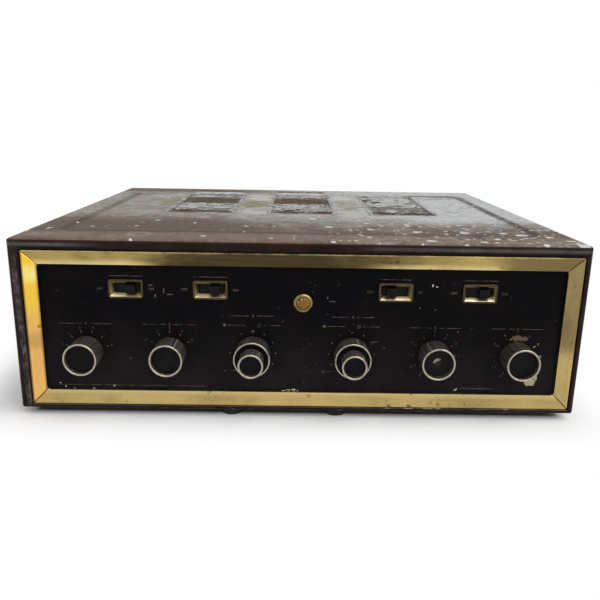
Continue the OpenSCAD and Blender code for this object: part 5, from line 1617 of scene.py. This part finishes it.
# tubes: clear glass over plates, spacers, rods and a silvered top
tubeSettings = {
    "glass": (0.93, 0.96, 0.95),
    "plate": (0.055, 0.053, 0.05),
    "plateLight": (0.13, 0.125, 0.115),
    "mica": (0.5, 0.42, 0.28),
    "micaDark": (0.32, 0.25, 0.15),
    "silver": (0.45, 0.44, 0.42),
    "silverDark": (0.06, 0.05, 0.045),
    "footRise": 10.5 * mm,
    "domeDrop": 2.4 * mm,
    "headDrop": 0.5 * mm,
    "plateWide": 5.4 * mm,
    "plateDeep": 3.6 * mm,
    "plateEdge": 0.5 * mm,
    "crimpInset": 1.2 * mm,
    "crimpDeep": 0.5 * mm,
    "finFrom": 5.13 * mm,
    "finReach": 7.6 * mm,
    "finThick": 0.7 * mm,
    "finShort": 1.5 * mm,
    "finEdge": 0.15 * mm,
    "micaR": 8.8 * mm,
    "micaThick": 0.35 * mm,
    "micaTooth": 0.5 * mm,
    "micaUnder": 0.4 * mm,
    "micaOver": 0.05 * mm,
    "rodR": 0.45 * mm,
    "rodAside": 6.4 * mm,
    "rodBelow": 3 * mm,
    "rodAbove": 2 * mm,
    "leads": 7,
    "leadR": 0.35 * mm,
    "leadRing": 4.6 * mm,
    "leadRise": 1.5 * mm,
    "getterR": 3.2 * mm,
    "getterRise": 4 * mm,
    "silverInset": 1.12 * mm,
    "silverThick": 0.08 * mm,
    "silverAngles": (8, 87),
    "silverRings": 7,
}


def clearGlass(s):
    finish = newFinish("tubeGlass", Base_Color=s["glass"], IOR=1.47, Transmission_Weight=1.0)
    place = placeOn(finish)
    coat(finish, Roughness=place.cloud(60, 5, 0.6).step(0.4, 0.8, 0.02, 0.14))
    relief(finish, (place.cloud(35, 2), 0.2 * mm, 0.05))
    return finish


def silvering(s):
    finish = newFinish("getterSilver", Metallic=1.0, Roughness=0.16)
    cloud = placeOn(finish).cloud(130, 4, 0.6)
    coat(finish, Base_Color=cloud.step(0.35, 0.75).mix(s["silver"], s["silverDark"]))
    relief(finish, (cloud, 0.1 * mm, 0.1))
    return finish


def micaSheet(s):
    finish = newFinish("micaSpacer", Roughness=0.35, Specular_IOR_Level=0.6)
    flakes = placeOn(finish).cells(420)
    coat(finish, Base_Color=flakes.step(0.2, 0.7).mix(s["mica"], s["micaDark"]))
    relief(finish, (flakes, 0.05 * mm, 0.3))
    return finish


def addPlate(x, y, low, high, s):  # a folded box with fins, crimped along its middle
    wide, deep = s["plateWide"], s["plateDeep"]
    box = addBlock("plate", (x - wide, y - deep, low), (x + wide, y + deep, high))
    pickFaces(box, lambda face: abs(face.normal.y) > 0.9)
    bpy.ops.mesh.inset(thickness=s["crimpInset"], depth=-s["crimpDeep"], use_individual=True)
    bpy.ops.object.mode_set(mode="OBJECT")
    parts = [bevelled(box, s["plateEdge"], 2)]
    thin, short = s["finThick"] / 2, s["finShort"]
    for side in (-1, 1):
        near, far = sorted((x + side * s["finFrom"], x + side * s["finReach"]))
        fin = addBlock("fin", (near, y - thin, low + short), (far, y + thin, high - short))
        parts.append(bevelled(fin, s["finEdge"], 1))
    return parts


def addMica(x, y, z, s):  # a notched spacer that touches the glass
    disc = addTurned("mica", (x, y, z), [(s["micaR"], 0), (s["micaR"], s["micaThick"])], sides=24)
    for i, vertex in enumerate(disc.data.vertices):
        if i % 3 == 0:
            away = vertex.co - Vector((x, y, vertex.co.z))
            vertex.co += away.normalized() * s["micaTooth"]
    return disc


def addGetter(x, y, z, s):  # a ring on a post under the silvered top
    deselectAll()
    bpy.ops.mesh.primitive_torus_add(
        location=(x, y, z), major_radius=s["getterR"], minor_radius=s["rodR"],
        major_segments=24, minor_segments=8,
    )
    ring = settle(bpy.context.object)
    x += s["getterR"]
    post = addRod("post", (x, y, z - s["getterRise"]), (x, y, z), s["rodR"] * 0.8, 8)
    return [smoothed(ring, 60), post]


def addRods(x, y, low, foot, head, s):  # two uprights, and leads from the base
    made = []
    for rodX in (x - s["rodAside"], x + s["rodAside"]):
        ends = (rodX, y, foot - s["rodBelow"]), (rodX, y, head + s["rodAbove"])
        made.append(addRod("rod", *ends, s["rodR"], 8))
    for i in range(s["leads"]):
        angle = 2 * math.pi * i / s["leads"]
        dx, dy = s["leadRing"] * math.cos(angle), s["leadRing"] * math.sin(angle)
        ends = (x + dx, y + dy, low + s["leadRise"]), (x + 0.6 * dx, y + 0.5 * dy, foot)
        made.append(addRod("lead", *ends, s["leadR"], 6))
    return made


def addSilver(x, y, z, radius, s):  # the silvering under a tube's dome
    start, end = s["silverAngles"]
    rings = []
    for i in range(s["silverRings"]):
        angle = math.radians(start + (end - start) * i / (s["silverRings"] - 1))
        rings.append((radius * math.cos(angle), radius * math.sin(angle)))
    cap = addTurned("silver", (x, y, z), rings, sides=40)
    pickFaces(cap, lambda face: face.normal.z < -0.9)
    bpy.ops.mesh.delete(type="FACE")
    bpy.ops.object.mode_set(mode="OBJECT")
    applied(cap, "SOLIDIFY", thickness=s["silverThick"], offset=-1)
    return smoothed(cap, 60)


def buildTubes(s):
    dress(clearGlass(s), "tubes")
    plates, micas, rods, silver = [], [], [], []
    for low, high in solidBoxes("tubes"):
        x, y = (low.x + high.x) / 2, (low.y + high.y) / 2
        radius = (high.x - low.x) / 2
        shoulder = high.z - s["domeDrop"] - radius
        foot, head = low.z + s["footRise"], shoulder - s["headDrop"]
        plates += addPlate(x, y, foot, head, s)
        micas += [addMica(x, y, z, s) for z in (foot - s["micaUnder"], head + s["micaOver"])]
        rods += addRods(x, y, low.z, foot, head, s) + addGetter(x, y, head + s["getterRise"], s)
        silver.append(addSilver(x, y, shoulder, radius - s["silverInset"], s))
    plateBlack = mouldedPlastic("plateBlack", s["plate"], s["plateLight"], 150, 0.45)
    finished(joined("tubePlates", plates), "cabinet", plateBlack, ("tube_electrodes",))
    finished(joined("tubeMicas", micas), "cabinet", micaSheet(s))
    finished(joined("tubeRods", rods), "cabinet", metals["lampNickel"])
    finished(joined("tubeSilver", silver), "cabinet", silvering(s))


buildTubes(tubeSettings)
print("tubes filled")


# rear apron: insulated jacks, slotted strip screws, plain figures
rearSettings = {
    "upper": ("jackCream", (0.55, 0.52, 0.45), (0.28, 0.25, 0.19)),
    "lower": ("jackRed", (0.36, 0.04, 0.03), (0.16, 0.025, 0.02)),
    "ringIn": 1.75 * mm,
    "ringOut": 3.1 * mm,
    "ringThick": 0.5 * mm,
    "ringProud": 0.05 * mm,
    "ringEdge": 0.12 * mm,
    "shankR": 1.5 * mm,
    "headR": 3 * mm,
    "headTall": 1.8 * mm,
    "headSide": 0.9 * mm,
    "headRound": 0.25 * mm,
    "slotWide": 0.7 * mm,
    "slotDeep": 0.8 * mm,
    "slotOver": 1 * mm,
    "stripFigure": 2.4 * mm,
    "stripRise": 5.6 * mm,
    "jackFigure": 3 * mm,
    "jackDrop": 21.6 * mm,
}


def addJackRing(x, y, z, s):  # the insulator between a jack's shell and its contact
    deselectAll()
    bpy.ops.mesh.primitive_cylinder_add(
        vertices=32, radius=s["ringOut"], depth=s["ringThick"], end_fill_type="NOTHING",
        location=(x, y, z), rotation=(math.pi / 2, 0, 0),
    )
    ring = settle(bpy.context.object)
    applied(ring, "SOLIDIFY", thickness=s["ringOut"] - s["ringIn"], offset=-1)
    editAll()
    closeUp()
    return bevelled(ring, s["ringEdge"], 2)


def addSlottedScrew(low, high, turn, s):  # a round head with a slot, on its shank
    x, z = (low.x + high.x) / 2, (low.z + high.z) / 2
    long, headR = high.y - low.y, s["headR"]
    base = long - s["headTall"]
    rings = [
        (s["shankR"], 0), (s["shankR"], base), (headR, base + 0.02 * mm), (headR, base + s["headSide"]),
        (headR * 0.8, long - s["headRound"]), (headR * 0.45, long),
    ]
    screw = addTurned("stripScrew", (x, low.y, z), rings, (0, 1, 0), 32)
    reach, half = headR + s["slotOver"], s["slotWide"] / 2
    slot = addBlock(
        "slot", (-reach, high.y - s["slotDeep"], -half), (reach, high.y + s["slotOver"], half)
    )
    slot.rotation_euler = (0, turn, 0)
    slot.location = (x, 0, z)
    settle(slot)
    applied(screw, "BOOLEAN", operation="DIFFERENCE", solver="EXACT", object=slot)
    bpy.data.objects.remove(slot)
    return smoothed(screw, 40)


def buildRear(s):
    jacks, strip = solidBoxes("input_jacks"), solidBoxes("chassis_screws")
    midZ = middleOf("input_jacks").z
    rows = {"upper": [], "lower": []}
    for low, high in jacks:
        x, z = (low.x + high.x) / 2, (low.z + high.z) / 2
        ring = addJackRing(x, high.y + s["ringProud"], z, s)
        rows["upper" if z > midZ else "lower"].append(ring)
    for row, rings in rows.items():
        finished(joined(row + "JackRings", rings), "cabinet", mouldedPlastic(*s[row], 300))
    turns = random.Random(7)
    screws = joined("stripScrews", [addSlottedScrew(*box, turns.uniform(0, math.pi), s) for box in strip])
    finished(screws, "cabinet", metals["screwPlate"], ("chassis_screws",))
    boardFace, apronFace = (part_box(node)[1].y for node in ("terminal_boards", "chassis"))
    figures = []
    for i, (low, high) in enumerate(strip):
        x, z = (low.x + high.x) / 2, (low.z + high.z) / 2 + s["stripRise"]
        figures.append(addFigure(str(i + 1), x, z, s["stripFigure"], boardFace, 1))
    for i, (low, high) in enumerate(jacks[1::2]):
        x, z = (low.x + high.x) / 2, midZ - s["jackDrop"]
        figures.append(addFigure(str(i + 1), x, z, s["jackFigure"], apronFace, 1))
    finished(joined("rearFigures", figures), "cabinet", markInk(markSettings))


buildRear(rearSettings)
print("rear apron finished")


# stage: a white floor under soft light from the upper right
stageSettings = {
    "floorHalf": 6,
    "floor": 0.97,
    "shadowReach": 58 * mm,
    "shadowShift": (-18 * mm, 11 * mm, 0),
    "contactShadow": 0.2,
    "contactInset": 6.5 * mm,
    "contactFade": 3 * mm,
    "worldLight": 0.62,
    "sunStrength": 1.5,
    "sunSpread": 60,
    "sunFrom": (0.6, -0.45, 1.0),
}


def shownOr(tree, plain, white, share=1.0):  # white to the camera and in reflections, and else plain
    path = addNode(tree, "LightPath")
    seen = Field(path.outputs["Is Camera Ray"])
    for name in ("Is Glossy Ray", "Is Transmission Ray"):
        seen = seen | Field(path.outputs[name])
    mix = addNode(tree, "MixShader")
    for socket, value in zip(mix.inputs, (seen * share, Field(plain.outputs[0]), Field(white.outputs[0]))):
        setSocket(socket, value)
    output = next(node for node in tree.nodes if node.name.endswith("Output"))
    setSocket(output.inputs["Surface"], Field(mix.outputs[0]))


def beyondCase(finish, shift):  # how far a place on the floor lies outside the case's outline, along x and y
    centre = (caseLow + caseHigh) / 2 + Vector(shift)
    half = (caseHigh - caseLow) / 2
    over = vectorMaths("SUBTRACT", placeOn(finish), (centre.x, centre.y, 0))
    return vectorMaths("SUBTRACT", vectorMaths("ABSOLUTE", over), (half.x, half.y, 0))


def whiteFloor(s):  # takes the object's shadow close to it, darker still under the case with a painted contact shadow, and is plain white further off
    finish = newFinish("whiteFloor", Roughness=0.9, Specular_IOR_Level=0.0)
    tree = finish.node_tree
    x, y = beyondCase(finish, (0, 0, 0)).axes()[:2]
    # painted contact shadow: the floor's own colour goes dark under the case
    under = (x | y).step(-s["contactInset"], -s["contactInset"] - s["contactFade"])
    coat(finish, Base_Color=under.mix((s["floor"],) * 3, (s["contactShadow"],) * 3))
    over = beyondCase(finish, s["shadowShift"])
    away = vectorMaths("LENGTH", vectorMaths("MAXIMUM", over, (0, 0, 0)))
    white = addNode(tree, "Emission", Color=(1, 1, 1), Strength=1.0)
    shownOr(tree, tree.nodes["Principled BSDF"], white, away.step(0, s["shadowReach"]))
    return finish


def buildStage(s):
    deselectAll()
    bpy.ops.mesh.primitive_plane_add(size=2 * s["floorHalf"])
    floor = named("floor")
    floor.data.materials.append(whiteFloor(s))
    world = bpy.data.worlds.new("softRoom")
    bpy.context.scene.world = world
    world.use_nodes = True
    tree = world.node_tree
    light = tree.nodes["Background"]
    setSockets(light, {"Color": (1, 1, 1), "Strength": s["worldLight"]})
    shownOr(tree, light, addNode(tree, "Background", Color=(1, 1, 1), Strength=1.0))
    bpy.ops.object.light_add(type="SUN")
    sun = named("softKey")
    sun.data.energy = s["sunStrength"]
    sun.data.angle = math.radians(s["sunSpread"])
    sun.rotation_euler = Vector(s["sunFrom"]).to_track_quat("Z", "Y").to_euler()
    bpy.context.scene.view_settings.view_transform = "Standard"


buildStage(stageSettings)
print("stage lit")
